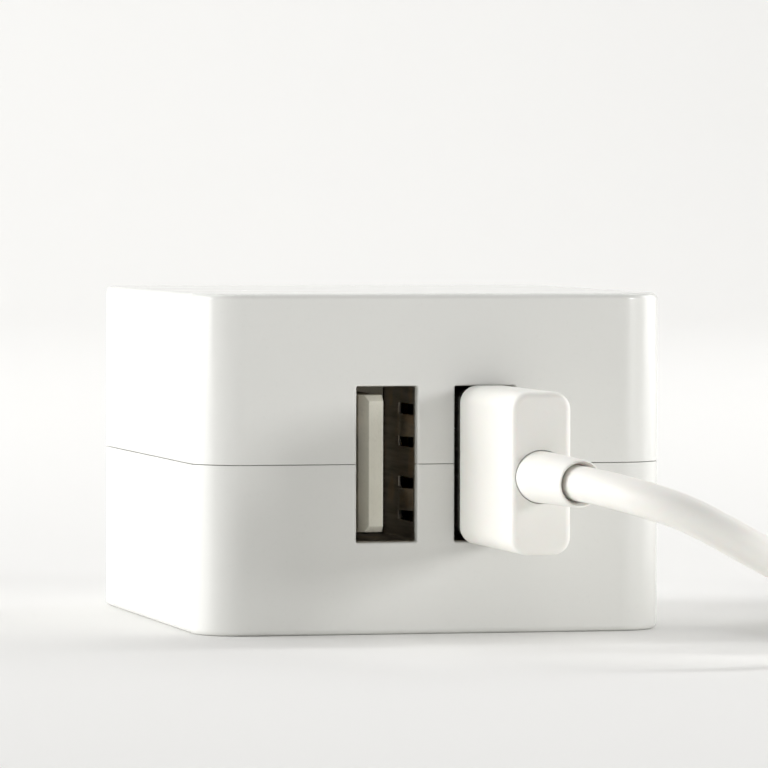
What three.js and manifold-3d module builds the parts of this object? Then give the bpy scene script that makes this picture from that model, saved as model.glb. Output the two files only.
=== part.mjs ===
// A two-port USB wall charger with folding prongs, and the USB cable that is plugged into it.
// Millimetres. +X is right as seen from the ports, +Y runs back to the wall side, +Z is up.
// The origin is the middle of the charger's underside.
import * as THREE from "three";
import { mergeVertices } from "three/addons/utils/BufferGeometryUtils.js";
import Module from "manifold-3d";

const wasm = await Module();
wasm.setup();

// ---------------------------------------------------------------- driving dimensions
const WIDTH = 39; // X
const DEPTH = 43; // Y
const HEIGHT = 27.5; // Z
const CORNER = 4; // radius of the four upright corners
const EDGE = 0.5; // rounding of the top and bottom rims
const WALL = 2;
const SEAM_GAP = 0.12; // between the two halves of the housing
const GAP = 0.3; // between pieces that sit against each other

const PORT_PITCH = 8.15; // between the middles of the two ports
const PORT = { wide: 5.05, tall: 12.6 }; // the opening in the plastic
const RECEPTACLE = { wide: 5.7, tall: 13.1, long: 13.6, sheet: 0.3, setback: 1.1 };
const TONGUE = { thick: 1.84, tall: 11.1, left: -1.88, setback: 1.2 };
const CONTACT_HEIGHTS = [-3.5, -1, 1, 3.5]; // of the four USB contacts, from the port's middle
const CONTACT_NAMES = ["vbus", "data_minus", "data_plus", "ground"];

const BLADE = { spacing: 12.7, thick: 1.5, wide: 6.35, reach: 16.5 };
const PIVOT = { x: -6, y: 18, barrel: 3.3, trunnion: 1.3 };

const BOARD = { bottom: 5.4, thick: 1.6, front: -19, back: 13.1, side: 16.6 };

const PLUG = { wide: 4.5, tall: 12, sheet: 0.3, tip: -10.6 }; // its metal shell
const GRIP = { x: 4.15, wide: 4.85, tall: 12.8, long: 16.5, corner: 1.4, standoff: 1, hold: 5 };
const CABLE = 2.8; // diameter
const COLLAR = 3.9; // diameter of the strain relief behind the grip

const COIL = { x: 53.9, y: -26, z: 0.8, turn: 22.4, pitch: 2.85, across: 4.25, layers: 2 };
const TAIL_ANGLE = 25; // where the cable leaves the coil, in degrees
const MICRO = { wide: 10.6, tall: 6.8, long: 17, shell: [6.85, 1.85, 6], relief: 6 };

const MID = HEIGHT / 2; // the seam, and the middle of every port
const FRONT = -DEPTH / 2;
const BACK = DEPTH / 2;
const BOARD_TOP = BOARD.bottom + BOARD.thick;

// Where the cable's middle runs from the strain relief to the coil, chosen by hand.
const CABLE_ROUTE = [
  [5.2, -47.5, 13.27],
  [5.83, -50.2, 13.12],
  [6.82, -52.8, 12.82],
  [8.55, -55.4, 12.26],
  [10.75, -57.1, 11.4],
  [13.05, -57.8, 10.2],
  [15.4, -57.8, 8.92],
  [17.3, -57.25, 7.95],
  [20.3, -56.55, 6.4],
  [24, -56.05, 4.7],
  [28.5, -55.75, 3.05],
  [33, -55.6, 1.95],
  [37.5, -55.35, 1.48],
  [42, -54.75, 1.42],
  [47, -53.45, 1.42],
  [51.95, -51.6, 1.42],
];
const COLLAR_ROUTE = [
  [4.15, -39.3, 13.45],
  [4.27, -42, 13.44],
  [4.62, -44.8, 13.38],
  [5.13, -47.2, 13.29],
];

// ---------------------------------------------------------------- materials
const finish = (color, roughness, metalness = 0) =>
  new THREE.MeshStandardMaterial({ color, roughness, metalness });
const gloss_white = finish(0xf1f1ee, 0.22);
const cable_white = finish(0xf0efea, 0.45);
const tongue_cream = finish(0xd8d3c6, 0.5);
const steel = finish(0x9a958c, 0.35, 1);
const bronze = finish(0xb08a55, 0.35, 1);
const gold = finish(0xd9b45a, 0.3, 1);
const nickel = finish(0xc4c6c8, 0.25, 1);
const board_green = finish(0x1f5d3a, 0.5);
const ferrite = finish(0x2f3033, 0.7);
const black_plastic = finish(0x1c1c1e, 0.5);
const copper_tape = finish(0xd8b23a, 0.4);
const sleeve_black = finish(0x23262b, 0.35);
const sleeve_green = finish(0x1f6b53, 0.35);
const disc_blue = finish(0x2c5fa8, 0.45);
const resistor_green = finish(0x4f8f5c, 0.55);

// ---------------------------------------------------------------- solids
/** Turns a closed three.js geometry into a solid that can be cut and joined. */
function solid(geometry) {
  const bare = geometry.clone();
  bare.deleteAttribute("normal");
  bare.deleteAttribute("uv");
  const merged = mergeVertices(bare, 1e-4);
  return new wasm.Manifold(
    new wasm.Mesh({
      numProp: 3,
      vertProperties: merged.attributes.position.array,
      triVerts: new Uint32Array(merged.index.array),
    }),
  );
}

/** A named mesh of a solid. */
function piece(name, shape, material) {
  const made = shape.getMesh();
  const geometry = new THREE.BufferGeometry();
  geometry.setAttribute("position", new THREE.BufferAttribute(made.vertProperties, 3));
  geometry.setIndex(new THREE.BufferAttribute(made.triVerts, 1));
  geometry.computeVertexNormals();
  const mesh = new THREE.Mesh(geometry, material);
  mesh.name = name;
  return mesh;
}

/** Several solids as one. */
const joined = (shapes) => shapes.reduce((all, next) => all.add(next));

/** A block between two corners. */
function block(x0, x1, y0, y1, z0, z1) {
  const box = new THREE.BoxGeometry(x1 - x0, y1 - y0, z1 - z0);
  return solid(box.translate((x0 + x1) / 2, (y0 + y1) / 2, (z0 + z1) / 2));
}

/** An upright rod from height z0 to z1. */
function post(x, y, z0, z1, radius, sides = 24) {
  const rod = new THREE.CylinderGeometry(radius, radius, z1 - z0, sides);
  return solid(rod.rotateX(Math.PI / 2).translate(x, y, (z0 + z1) / 2));
}

/** A rod lying along X ("x") or Y ("y"), centred at a point. */
function rod(axis, centre, length, radius, sides = 20) {
  const made = new THREE.CylinderGeometry(radius, radius, length, sides);
  if (axis === "x") made.rotateZ(Math.PI / 2);
  return solid(made.translate(...centre));
}

/** A rectangle with round corners, centred on the origin. */
function roundedRectangle(wide, tall, radius) {
  const [x, y] = [wide / 2, tall / 2];
  const shape = new THREE.Shape();
  shape.moveTo(-x + radius, -y);
  shape.absarc(x - radius, -y + radius, radius, -Math.PI / 2, 0);
  shape.absarc(x - radius, y - radius, radius, 0, Math.PI / 2);
  shape.absarc(-x + radius, y - radius, radius, Math.PI / 2, Math.PI);
  shape.absarc(-x + radius, -y + radius, radius, Math.PI, Math.PI * 1.5);
  return shape;
}

/** A rounded rectangle in X and Y made into a prism from z0 to z1, with its rims rounded by edge. */
function prism(wide, deep, radius, z0, z1, edge = 0, curveSegments = 6) {
  const outline = roundedRectangle(wide - 2 * edge, deep - 2 * edge, Math.max(radius - edge, 0.05));
  const made = new THREE.ExtrudeGeometry(outline, {
    depth: z1 - z0 - 2 * edge,
    bevelEnabled: edge > 0,
    bevelThickness: edge,
    bevelSize: edge,
    bevelSegments: 2,
    curveSegments,
  });
  return solid(made.translate(0, 0, z0 + edge));
}

/** A prism of an outline in X and Y. */
function slab(points, z0, z1) {
  const outline = new THREE.Shape(points.map(([x, y]) => new THREE.Vector2(x, y)));
  return solid(
    new THREE.ExtrudeGeometry(outline, { depth: z1 - z0, bevelEnabled: false }).translate(0, 0, z0),
  );
}

/** A strip of an outline in Y and Z, wide along X, centred on x. */
function strip(points, x, wide) {
  const outline = new THREE.Shape(points.map(([y, z]) => new THREE.Vector2(y, z)));
  const made = new THREE.ExtrudeGeometry(outline, { depth: wide, bevelEnabled: false });
  // The outline's own X becomes Y and its own Y becomes Z.
  const turned = new THREE.Matrix4().makeBasis(
    new THREE.Vector3(0, 1, 0),
    new THREE.Vector3(0, 0, 1),
    new THREE.Vector3(1, 0, 0),
  );
  return solid(made.applyMatrix4(turned).translate(x - wide / 2, 0, 0));
}

/** A round cord along a smooth curve through the points. */
function cord(points, diameter, sides, steps) {
  const path = new THREE.CatmullRomCurve3(points.map((p) => new THREE.Vector3(...p)));
  const section = new THREE.Shape();
  for (let i = 0; i < sides; i++) {
    const turn = (2 * Math.PI * i) / sides;
    const at = [(diameter / 2) * Math.cos(turn), (diameter / 2) * Math.sin(turn)];
    if (i === 0) section.moveTo(...at);
    else section.lineTo(...at);
  }
  return solid(new THREE.ExtrudeGeometry(section, { extrudePath: path, steps, bevelEnabled: false }));
}

// ---------------------------------------------------------------- housing
const PORT_CENTRES = [-PORT_PITCH / 2, PORT_PITCH / 2];
const BLADE_HEIGHTS = [MID - BLADE.spacing / 2, MID + BLADE.spacing / 2];
const BLADE_TIP = PIVOT.x + PIVOT.barrel + BLADE.reach;
const LIP = { tall: 1.2, thick: 0.8, corner: 2.6, play: 0.3 }; // the raised edge that aligns the halves
const POCKET = 1; // wall of the closed pocket round each folded blade
const SLOT_HALF = BLADE.thick / 2 + GAP;
const CARRIER_END = 2.2; // how far the prong carrier's barrel runs past each blade
const TRUNNION_LONG = 1.6;
const TIP_ROOM = 0.6; // between a folded blade's tip and the end of its slot
const SCOOP = { long: 4.2, deep: 1.5, half: 1.9 }; // the fingertip hollow at that end
const BOSS = 2.7; // radius of the bearing bosses

/** Everything that is cut through the front and back walls, for both halves. */
function openings() {
  const behindWall = FRONT + WALL + 1;
  const ports = PORT_CENTRES.flatMap((x) => {
    const [half, tall] = [PORT.wide / 2, PORT.tall / 2];
    const [w, t] = [RECEPTACLE.wide / 2 + GAP, RECEPTACLE.tall / 2 + GAP];
    const seat = FRONT + RECEPTACLE.setback - 0.1;
    return [
      block(x - half, x + half, FRONT - 1, behindWall, MID - tall, MID + tall),
      block(x - w, x + w, seat, behindWall, MID - t, MID + t),
    ];
  });
  const side = PIVOT.barrel + GAP;
  const [low, high] = [BLADE_HEIGHTS[0] - CARRIER_END - GAP, BLADE_HEIGHTS[1] + CARRIER_END + GAP];
  const window = block(PIVOT.x - side, PIVOT.x + side, PIVOT.y - 4, BACK + 1, low, high);
  const slotEnd = BLADE_TIP + TIP_ROOM;
  const slots = BLADE_HEIGHTS.flatMap((z) => {
    const front = PIVOT.y - BLADE.wide / 2 - GAP;
    return [
      block(PIVOT.x, slotEnd, front, BACK + 1, z - SLOT_HALF, z + SLOT_HALF),
      block(slotEnd - SCOOP.long, slotEnd, BACK - SCOOP.deep, BACK + 1, z - SCOOP.half, z + SCOOP.half),
    ];
  });
  return joined([...ports, window, ...slots]);
}

/** The closed pocket that keeps the folded blade at height z apart from the live parts. */
function bladePocket(z) {
  const half = SLOT_HALF + POCKET;
  const front = PIVOT.y - BLADE.wide / 2 - GAP - POCKET;
  const [start, end] = [PIVOT.x + PIVOT.barrel + 2 * GAP, BLADE_TIP + TIP_ROOM + POCKET];
  return block(start, end, front, BACK - 1, z - half, z + half);
}

function housing() {
  const outer = prism(WIDTH, DEPTH, CORNER, 0, HEIGHT, EDGE, 8);
  const inner = prism(WIDTH - 2 * WALL, DEPTH - 2 * WALL, CORNER - WALL, WALL, HEIGHT - WALL);
  const cut = openings();
  const far = 100;
  const [low, high] = BLADE_HEIGHTS;

  // The lip is an upright band inside the wall, and the upper half is cut back round it.
  const lipWide = WIDTH - 2 * WALL + 2 * LIP.thick;
  const lipDeep = DEPTH - 2 * WALL + 2 * LIP.thick;
  const lip = prism(lipWide, lipDeep, LIP.corner, MID - 1, MID + LIP.tall).subtract(inner);
  const rebate = prism(
    lipWide + LIP.play,
    lipDeep + LIP.play,
    LIP.corner,
    MID - 2,
    MID + LIP.tall + LIP.play,
  );

  const below = block(-far, far, -far, far, -far, MID - SEAM_GAP / 2);
  const above = block(-far, far, -far, far, MID + SEAM_GAP / 2, far);
  const hollow = outer.subtract(inner);

  // Blind bearings for the prong carrier's trunnions, one in each half.
  const bossStart = CARRIER_END + GAP + 0.1;
  const boreDepth = CARRIER_END + TRUNNION_LONG + GAP;
  const lowerBoss = post(PIVOT.x, PIVOT.y - 0.6, WALL - 0.2, low - bossStart, BOSS);
  const lowerBore = post(PIVOT.x, PIVOT.y, low - boreDepth, low, PIVOT.trunnion + 0.1);
  const upperBoss = post(PIVOT.x, PIVOT.y - 0.6, high + bossStart, HEIGHT - WALL + 0.2, BOSS);
  const upperBore = post(PIVOT.x, PIVOT.y, high, high + boreDepth, PIVOT.trunnion + 0.1);

  // Four short posts in the lower half carry the board.
  const rests = [-14, 14].flatMap((x) =>
    [-15.5, 10].map((y) => post(x, y, WALL - 0.2, BOARD.bottom - GAP, 1.4, 12)),
  );

  const lower = hollow
    .intersect(below)
    .add(lip)
    .add(bladePocket(low))
    .add(joined(rests))
    .add(lowerBoss)
    .subtract(cut)
    .subtract(lowerBore);
  const upper = hollow
    .intersect(above)
    .subtract(rebate.intersect(above))
    .add(bladePocket(high))
    .add(upperBoss)
    .subtract(cut)
    .subtract(upperBore);
  return [piece("lower_shell", lower, gloss_white), piece("upper_shell", upper, gloss_white)];
}

// ---------------------------------------------------------------- USB receptacles
const SHELL_FRONT = FRONT + RECEPTACLE.setback;
const SHELL_BACK = SHELL_FRONT + RECEPTACLE.long;
const INSULATOR_BLOCK = 3; // length of the moulding at the back of the receptacle

/** A rectangular sheet-metal tube along Y, centred on x and on the seam's height. */
function rectangularTube(x, wide, tall, sheet, start, end) {
  const [w, t] = [wide / 2, tall / 2];
  const outside = block(x - w, x + w, start, end, MID - t, MID + t);
  const [u, v] = [w - sheet, t - sheet];
  return outside.subtract(block(x - u, x + u, start - 1, end + 1, MID - v, MID + v));
}

/** A spring finger on a wide wall: side is 1 for the right wall and -1 for the left. */
function springFinger(x, side, z) {
  const inside = RECEPTACLE.wide / 2 - RECEPTACLE.sheet;
  const [root, bow, tip] = [SHELL_FRONT + 5.9, SHELL_FRONT + 2.3, SHELL_FRONT + 0.7];
  const t = RECEPTACLE.sheet;
  const outline = [
    [inside, root],
    [inside - 0.22, bow],
    [inside - 0.02, tip],
    [inside - 0.02 + t, tip],
    [inside - 0.22 + t, bow],
    [inside + t, root],
  ];
  const placed = outline.map(([u, y]) => [x + side * u, y]);
  return slab(side > 0 ? placed : placed.reverse(), z - 0.9, z + 0.9);
}

function receptacle(x, label) {
  const { wide, tall, sheet } = RECEPTACLE;
  let can = rectangularTube(x, wide, tall, sheet, SHELL_FRONT, SHELL_BACK);
  for (const side of [-1, 1])
    for (const z of [MID - 3, MID + 3]) {
      const wall = x + side * (wide / 2 - sheet / 2);
      const [near, end, half] = [SHELL_FRONT + 0.5, SHELL_FRONT + 5.7, 1.75];
      const window = block(wall - sheet, wall + sheet, near, end, z - half, z + half);
      can = can.subtract(window).add(springFinger(x, side, z));
    }

  // The moulding: a block across the back and the tongue that carries the contacts.
  const clear = sheet + 0.1;
  const blockFront = SHELL_BACK - INSULATOR_BLOCK;
  const tongueFront = FRONT + TONGUE.setback;
  const left = x + TONGUE.left;
  const right = left + TONGUE.thick;
  const [halfWide, halfTall, halfTongue] = [wide / 2 - clear, tall / 2 - clear, TONGUE.tall / 2];
  let insulator = block(
    x - halfWide,
    x + halfWide,
    blockFront,
    SHELL_BACK,
    MID - halfTall,
    MID + halfTall,
  ).add(block(left, right, tongueFront, blockFront + 0.5, MID - halfTongue, MID + halfTongue));
  const contacts = [];
  CONTACT_HEIGHTS.forEach((h, i) => {
    const z = MID + h;
    const [half, thick, play] = [0.5, 0.25, 0.1];
    const pinY = SHELL_BACK + 0.6 + i;
    const groove = [z - half - play, z + half + play];
    insulator = insulator.subtract(
      block(right - thick - play, right + 1, tongueFront + 1 - play, SHELL_BACK + 1, ...groove),
    );
    const leaf = block(right - thick, right, tongueFront + 1, pinY, z - half, z + half);
    const pin = block(right - thick, right, pinY - 0.5, pinY, BOARD_TOP + GAP, z + half);
    contacts.push(piece(`${label}_contact_${CONTACT_NAMES[i]}`, leaf.add(pin), gold));
  });
  return [
    piece(`${label}_receptacle_shell`, can, steel),
    piece(`${label}_receptacle_tongue`, insulator, tongue_cream),
    ...contacts,
  ];
}

// ---------------------------------------------------------------- circuit board and what stands on it
/** A capacitor can that stands on the board, with a rolled groove near its foot. */
function canCapacitor(name, x, y, radius, tall, material) {
  const foot = BOARD_TOP + GAP;
  const profile = [
    [0, foot],
    [radius, foot],
    [radius, foot + 1],
    [radius - 0.3, foot + 1.4],
    [radius, foot + 1.8],
    [radius, foot + tall - 0.3],
    [radius - 0.3, foot + tall],
    [0, foot + tall],
  ];
  const turned = new THREE.LatheGeometry(
    profile.map(([r, z]) => new THREE.Vector2(r, z)),
    20,
  );
  return piece(name, solid(turned.rotateX(Math.PI / 2).translate(x, y, 0)), material);
}

function transformer() {
  const [x, y, z] = [4.2, 4.2, 16.2]; // the middle of the centre leg
  const [legs, thick, yoke] = [8, 5, 2.6]; // half the span up and down, the core's depth, the yoke's width
  const half = 8; // from the middle to the end of each half core
  const leg = 1.9;
  const halfCore = (side) => {
    const [near, end] = [x + side * 0.05, x + side * half];
    const [a, b] = side > 0 ? [near, end] : [end, near];
    const [ya, yb] = [y - thick / 2, y + thick / 2];
    const back = side > 0 ? [end - yoke, end] : [end, end + yoke];
    return block(...back, ya, yb, z - legs, z + legs)
      .add(block(a, b, ya, yb, z - legs, z - legs + leg))
      .add(block(a, b, ya, yb, z + legs - leg, z + legs))
      .add(block(a, b, ya, yb, z - leg, z + leg));
  };
  /** A box round the centre leg, standing off it by a distance. */
  const round = (halfLong, off) => {
    const [b, c] = [thick / 2 + off, leg + off];
    return block(x - halfLong, x + halfLong, y - b, y + b, z - c, z + c);
  };
  const play = 0.2; // between the leg and the bobbin
  const hub = 0.6; // thickness of the bobbin's wall
  const flange = 5.2; // half the bobbin's length
  const sheet = 0.7; // thickness of its flanges
  let bobbin = round(flange, play + hub);
  for (const side of [-1, 1]) {
    const [a, b] = side > 0 ? [flange - sheet, flange] : [-flange, -flange + sheet];
    bobbin = bobbin.add(block(x + a, x + b, y - 5.9, y + 5.9, z - 5.7, z + 5.7));
  }
  bobbin = bobbin.subtract(round(2 * flange, play));
  const wound = flange - sheet - play;
  const winding = block(x - wound, x + wound, y - 5.6, y + 5.6, z - 5.4, z + 5.4).subtract(
    round(flange, 2 * play + hub),
  );
  return [
    piece("transformer_core_left", halfCore(-1), ferrite),
    piece("transformer_core_right", halfCore(1), ferrite),
    piece("transformer_bobbin", bobbin, black_plastic),
    piece("transformer_winding", winding, copper_tape),
  ];
}

function electronics() {
  const { bottom, front, back, side } = BOARD;
  const slot = block(-0.6, 0.6, -5.6, 6, bottom - 1, BOARD_TOP + 1); // keeps mains and output apart
  const board = block(-side, side, front, back, bottom, BOARD_TOP).subtract(slot);
  const foot = BOARD_TOP + GAP;
  const under = bottom - GAP;
  const drum = (from, to, radius) => post(-0.2, -4.3, foot + from, foot + to, radius, 16);
  const choke = drum(0, 1, 2.1).add(drum(0.9, 6.1, 1.6)).add(drum(6, 7, 2.1));
  return [
    piece("circuit_board", board, board_green),
    ...transformer(),
    canCapacitor("input_capacitor_front", -12.3, -4.2, 4, 15, sleeve_black),
    canCapacitor("input_capacitor_rear", -12.3, 4.6, 4, 15, sleeve_black),
    canCapacitor("output_capacitor_left", -12.6, -13.6, 3.6, 12, sleeve_green),
    canCapacitor("output_capacitor_right", 12.6, -13.6, 3.6, 12, sleeve_green),
    piece("fuse_resistor", rod("y", [-6, 6, foot + 1.6], 8.5, 1.6), resistor_green),
    piece("safety_capacitor", rod("x", [14.7, 6.5, foot + 4], 3, 3.8), disc_blue),
    piece("optocoupler", block(12.6, 16.2, -3.4, 1.2, foot, foot + 3.4), black_plastic),
    piece("output_rectifier", block(8.2, 15.2, -8.6, -4.6, foot, foot + 2.3), black_plastic),
    piece("input_choke", choke, ferrite),
    piece("bridge_rectifier", block(-14.2, -9.5, 0.4, 4.4, under - 2.2, under), black_plastic),
    piece("power_controller", block(-6.5, -2.6, 1, 5.9, under - 1.6, under), black_plastic),
    piece("port_controller", block(2.2, 6.1, -14, -9.1, under - 1.6, under), black_plastic),
  ];
}

// ---------------------------------------------------------------- folding prongs
/** A blade folded flat along X, with the narrow tang that is moulded into the barrel. */
function blade(name, z) {
  const { x, y, barrel } = PIVOT;
  const half = BLADE.wide / 2;
  const tang = 1.5;
  const nose = 1.3; // the tapered end
  const outline = new THREE.Shape();
  outline.moveTo(x - barrel - 0.6, y - tang + 0.5);
  outline.lineTo(x - barrel - 0.1, y - tang);
  outline.lineTo(x + barrel + 0.05, y - tang);
  outline.lineTo(x + barrel + 0.05, y - half);
  outline.lineTo(BLADE_TIP - nose, y - half);
  outline.lineTo(BLADE_TIP, y - half + nose);
  outline.lineTo(BLADE_TIP, y + half - nose);
  outline.lineTo(BLADE_TIP - nose, y + half);
  outline.lineTo(x + barrel + 0.05, y + half);
  outline.lineTo(x + barrel + 0.05, y + tang);
  outline.lineTo(x - barrel - 0.1, y + tang);
  outline.lineTo(x - barrel - 0.6, y + tang - 0.5);
  const hole = new THREE.Path().absarc(x + barrel + 11.7, y, 1.6, 0, Math.PI * 2, true);
  outline.holes.push(hole);
  const drawn = { depth: BLADE.thick, bevelEnabled: false, curveSegments: 10 };
  const made = new THREE.ExtrudeGeometry(outline, drawn);
  return piece(name, solid(made.translate(0, 0, z - BLADE.thick / 2)), nickel);
}

function prongs() {
  const { x, y, barrel, trunnion } = PIVOT;
  const [low, high] = [BLADE_HEIGHTS[0] - CARRIER_END, BLADE_HEIGHTS[1] + CARRIER_END];
  let carrier = post(x, y, low, high, barrel).add(
    post(x, y, low - TRUNNION_LONG, high + TRUNNION_LONG, trunnion, 16),
  );
  for (const z of BLADE_HEIGHTS) {
    const half = BLADE.thick / 2 + 0.1;
    carrier = carrier.subtract(block(x - 5, x + 5, y - 1.6, y + 1.6, z - half, z + half));
  }
  // Two flats a quarter turn apart, which the detent spring drops onto.
  const flat = barrel - 0.35;
  carrier = carrier
    .subtract(block(x - 5, x + 5, y - 6, y - flat, MID - 4.5, MID + 4.5))
    .subtract(block(x - 6, x - flat, y - 5, y + 5, MID - 4.5, MID + 4.5));
  return [
    piece("prong_carrier", carrier, gloss_white),
    blade("prong_blade_neutral", BLADE_HEIGHTS[0]),
    blade("prong_blade_line", BLADE_HEIGHTS[1]),
  ];
}

function prongSprings() {
  const { x, y, barrel } = PIVOT;
  const [low, high] = BLADE_HEIGHTS;
  const face = y - barrel - 0.65; // just clear of the blade tails as they swing past
  const foot = BOARD_TOP + GAP;
  const sheet = 0.35;
  /** A leaf that is soldered to the board at its foot and stands up to height top. */
  const leaf = (top) => [
    [face - 4, foot],
    [face, foot],
    [face, top],
    [face - sheet, top],
    [face - sheet, foot + sheet],
    [face - 4, foot + sheet],
  ];
  const detentFace = y - barrel - 0.05; // drawn lifted off its flat, as it is half way round
  const detent = [
    [detentFace - 0.3, MID - 4.2],
    [detentFace, MID - 2.6],
    [detentFace, MID + 2.6],
    [detentFace - 0.3, MID + 4.2],
    [detentFace - 0.6, MID + 4.2],
    [detentFace - 0.3, MID + 2.6],
    [detentFace - 0.3, MID - 2.6],
    [detentFace - 0.6, MID - 4.2],
  ];
  return [
    piece("contact_spring_line", strip(leaf(high + 1), x + 1.9, 1.8), bronze),
    piece("contact_spring_neutral", strip(leaf(low + 1.4), x - 1.9, 1.8), bronze),
    piece("detent_spring", strip(detent, x, 1.6), steel),
  ];
}

// ---------------------------------------------------------------- USB plug and cable
function usbPlug() {
  const x = PORT_CENTRES[1];
  const root = FRONT - GRIP.standoff;
  const { wide, tall, sheet, tip } = PLUG;
  const can = rectangularTube(x, wide, tall, sheet, root - GRIP.hold, tip);
  // The insulator fills the half of the shell that the receptacle's tongue leaves free.
  const seat = x + TONGUE.left + TONGUE.thick + 0.06;
  const [halfWide, halfTall] = [wide / 2 - sheet - 0.05, tall / 2 - sheet - 0.05];
  let insulator = block(seat, x + halfWide, root - 4.5, tip - 0.5, MID - halfTall, MID + halfTall);
  const pads = CONTACT_HEIGHTS.map((h, i) => {
    const z = MID + h;
    insulator = insulator.subtract(block(seat - 1, seat + 0.3, root - 4, tip - 1.2, z - 0.6, z + 0.6));
    const pad = block(seat, seat + 0.2, root - 3.9, tip - 1.4, z - 0.5, z + 0.5);
    return piece(`plug_contact_${CONTACT_NAMES[i]}`, pad, gold);
  });

  // The grip is moulded round the back of the metal shell.
  const outline = roundedRectangle(GRIP.wide, GRIP.tall, GRIP.corner);
  const bar = new THREE.ExtrudeGeometry(outline, { depth: GRIP.long, bevelEnabled: false, curveSegments: 6 });
  bar.rotateX(Math.PI / 2).translate(GRIP.x, root, MID - 0.05);
  const [w, t] = [wide / 2 + 0.05, tall / 2 + 0.05];
  const hollow = block(x - w, x + w, root - GRIP.hold - 0.1, root + 1, MID - t, MID + t);
  return [
    piece("plug_shell", can, nickel),
    piece("plug_insulator", insulator, cable_white),
    ...pads,
    piece("plug_grip", solid(bar).subtract(hollow), cable_white),
    piece("plug_strain_relief", cord(COLLAR_ROUTE, COLLAR, 12, 6), cable_white),
  ];
}

const COIL_INNER = COIL.turn - COIL.across * COIL.pitch;
const COIL_OUTER = COIL.turn + CABLE / 2;
const COIL_TOP = COIL.z + COIL.layers * CABLE;

/** A point at a distance along the straight line on which the cable leaves the coil. */
function tailPoint(along, z) {
  const turn = THREE.MathUtils.degToRad(TAIL_ANGLE);
  return [
    COIL.x + COIL.turn * Math.cos(turn) - along * Math.sin(turn),
    COIL.y + COIL.turn * Math.sin(turn) + along * Math.cos(turn),
    z,
  ];
}

const TAIL = { start: 12.4, end: 14, high: 3.75, low: 3.55 }; // along that line, coil to connector
const MICRO_MIDDLE = MICRO.tall / 2 + 0.05;

function cableRun() {
  const ring = new THREE.LatheGeometry(
    [
      [COIL_INNER - CABLE / 2, COIL.z],
      [COIL_OUTER, COIL.z],
      [COIL_OUTER, COIL_TOP],
      [COIL_INNER - CABLE / 2, COIL_TOP],
      [COIL_INNER - CABLE / 2, COIL.z],
    ].map(([r, z]) => new THREE.Vector2(r, z)),
    48,
  );
  const coil = solid(ring.rotateX(Math.PI / 2).translate(COIL.x, COIL.y, 0));

  // A strap round the turns, on the side away from the charger.
  const strap = 0.5;
  const half = 2.5;
  const near = Math.sqrt((COIL_INNER - CABLE / 2) ** 2 - half ** 2) - 0.25;
  const far = COIL_OUTER + 0.25;
  const [low, high] = [COIL.z - 0.25, COIL_TOP + 0.25];
  const band = block(near - strap, far + strap, -half, half, low - strap, high + strap).subtract(
    block(near, far, -half - 1, half + 1, low, high),
  );
  const tie = band.rotate([0, 0, -30]).translate([COIL.x, COIL.y, 0]);
  const tail = [0, 0.5, 1].map((share) =>
    tailPoint(
      THREE.MathUtils.lerp(TAIL.start, TAIL.end, share),
      THREE.MathUtils.lerp(TAIL.high, TAIL.low, share),
    ),
  );
  return [
    piece("cable", cord(CABLE_ROUTE, CABLE, 8, 20), cable_white),
    piece("cable_coil", coil, cable_white),
    piece("coil_tie", tie, black_plastic),
    piece("cable_tail", cord(tail, CABLE, 8, 3), cable_white),
  ];
}

/** The small connector on the cable's far end, made along Y and turned into line with the tail. */
function microPlug() {
  const start = TAIL.end + GAP;
  const grip = start + MICRO.relief + GAP;
  const mouth = grip + MICRO.long;
  const [shellWide, shellTall, shellLong] = MICRO.shell;
  const place = (shape) => shape.rotate([0, 0, TAIL_ANGLE]).translate(tailPoint(0, MICRO_MIDDLE));
  const relief = new THREE.CylinderGeometry(1.75, 2.4, MICRO.relief, 12).rotateX(Math.PI);
  relief.translate(0, start + MICRO.relief / 2, 0);

  const outline = roundedRectangle(MICRO.wide, MICRO.tall, 2);
  const drawn = { depth: MICRO.long, bevelEnabled: false, curveSegments: 5 };
  const bar = new THREE.ExtrudeGeometry(outline, drawn);
  bar.rotateX(Math.PI / 2).translate(0, mouth, 0);
  const socket = block(
    -shellWide / 2 - 0.05,
    shellWide / 2 + 0.05,
    mouth - 4,
    mouth + 1,
    -shellTall / 2 - 0.05,
    shellTall / 2 + 0.05,
  );

  // The metal nose is narrower along one wide side, so that it only goes in one way.
  const nose = (inset, y0, y1) => {
    const [w, t] = [shellWide / 2 - inset, shellTall / 2 - inset];
    const shape = new THREE.Shape(
      [
        [-w, t],
        [-w, -t + 0.7],
        [-w + 0.75, -t],
        [w - 0.75, -t],
        [w, -t + 0.7],
        [w, t],
      ].map(([u, v]) => new THREE.Vector2(u, v)),
    );
    const made = new THREE.ExtrudeGeometry(shape, { depth: y1 - y0, bevelEnabled: false });
    return solid(made.rotateX(Math.PI / 2).translate(0, y1, 0));
  };
  const tip = mouth + shellLong;
  const shell = nose(0, mouth - 3.9, tip).subtract(nose(0.25, mouth - 5, tip + 1));
  const tongue = block(-2.2, 2.2, mouth - 3.5, tip - 0.4, 0, 0.45);
  return [
    piece("micro_strain_relief", place(solid(relief)), cable_white),
    piece("micro_grip", place(solid(bar).subtract(socket)), cable_white),
    piece("micro_shell", place(shell), nickel),
    piece("micro_tongue", place(tongue), black_plastic),
  ];
}

// ---------------------------------------------------------------- the whole charger
const charger = new THREE.Group();
charger.add(
  ...housing(),
  ...receptacle(PORT_CENTRES[0], "left"),
  ...receptacle(PORT_CENTRES[1], "right"),
  ...electronics(),
  ...prongSprings(),
  ...prongs(),
  ...usbPlug(),
  ...cableRun(),
  ...microPlug(),
);

export default charger;
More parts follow.
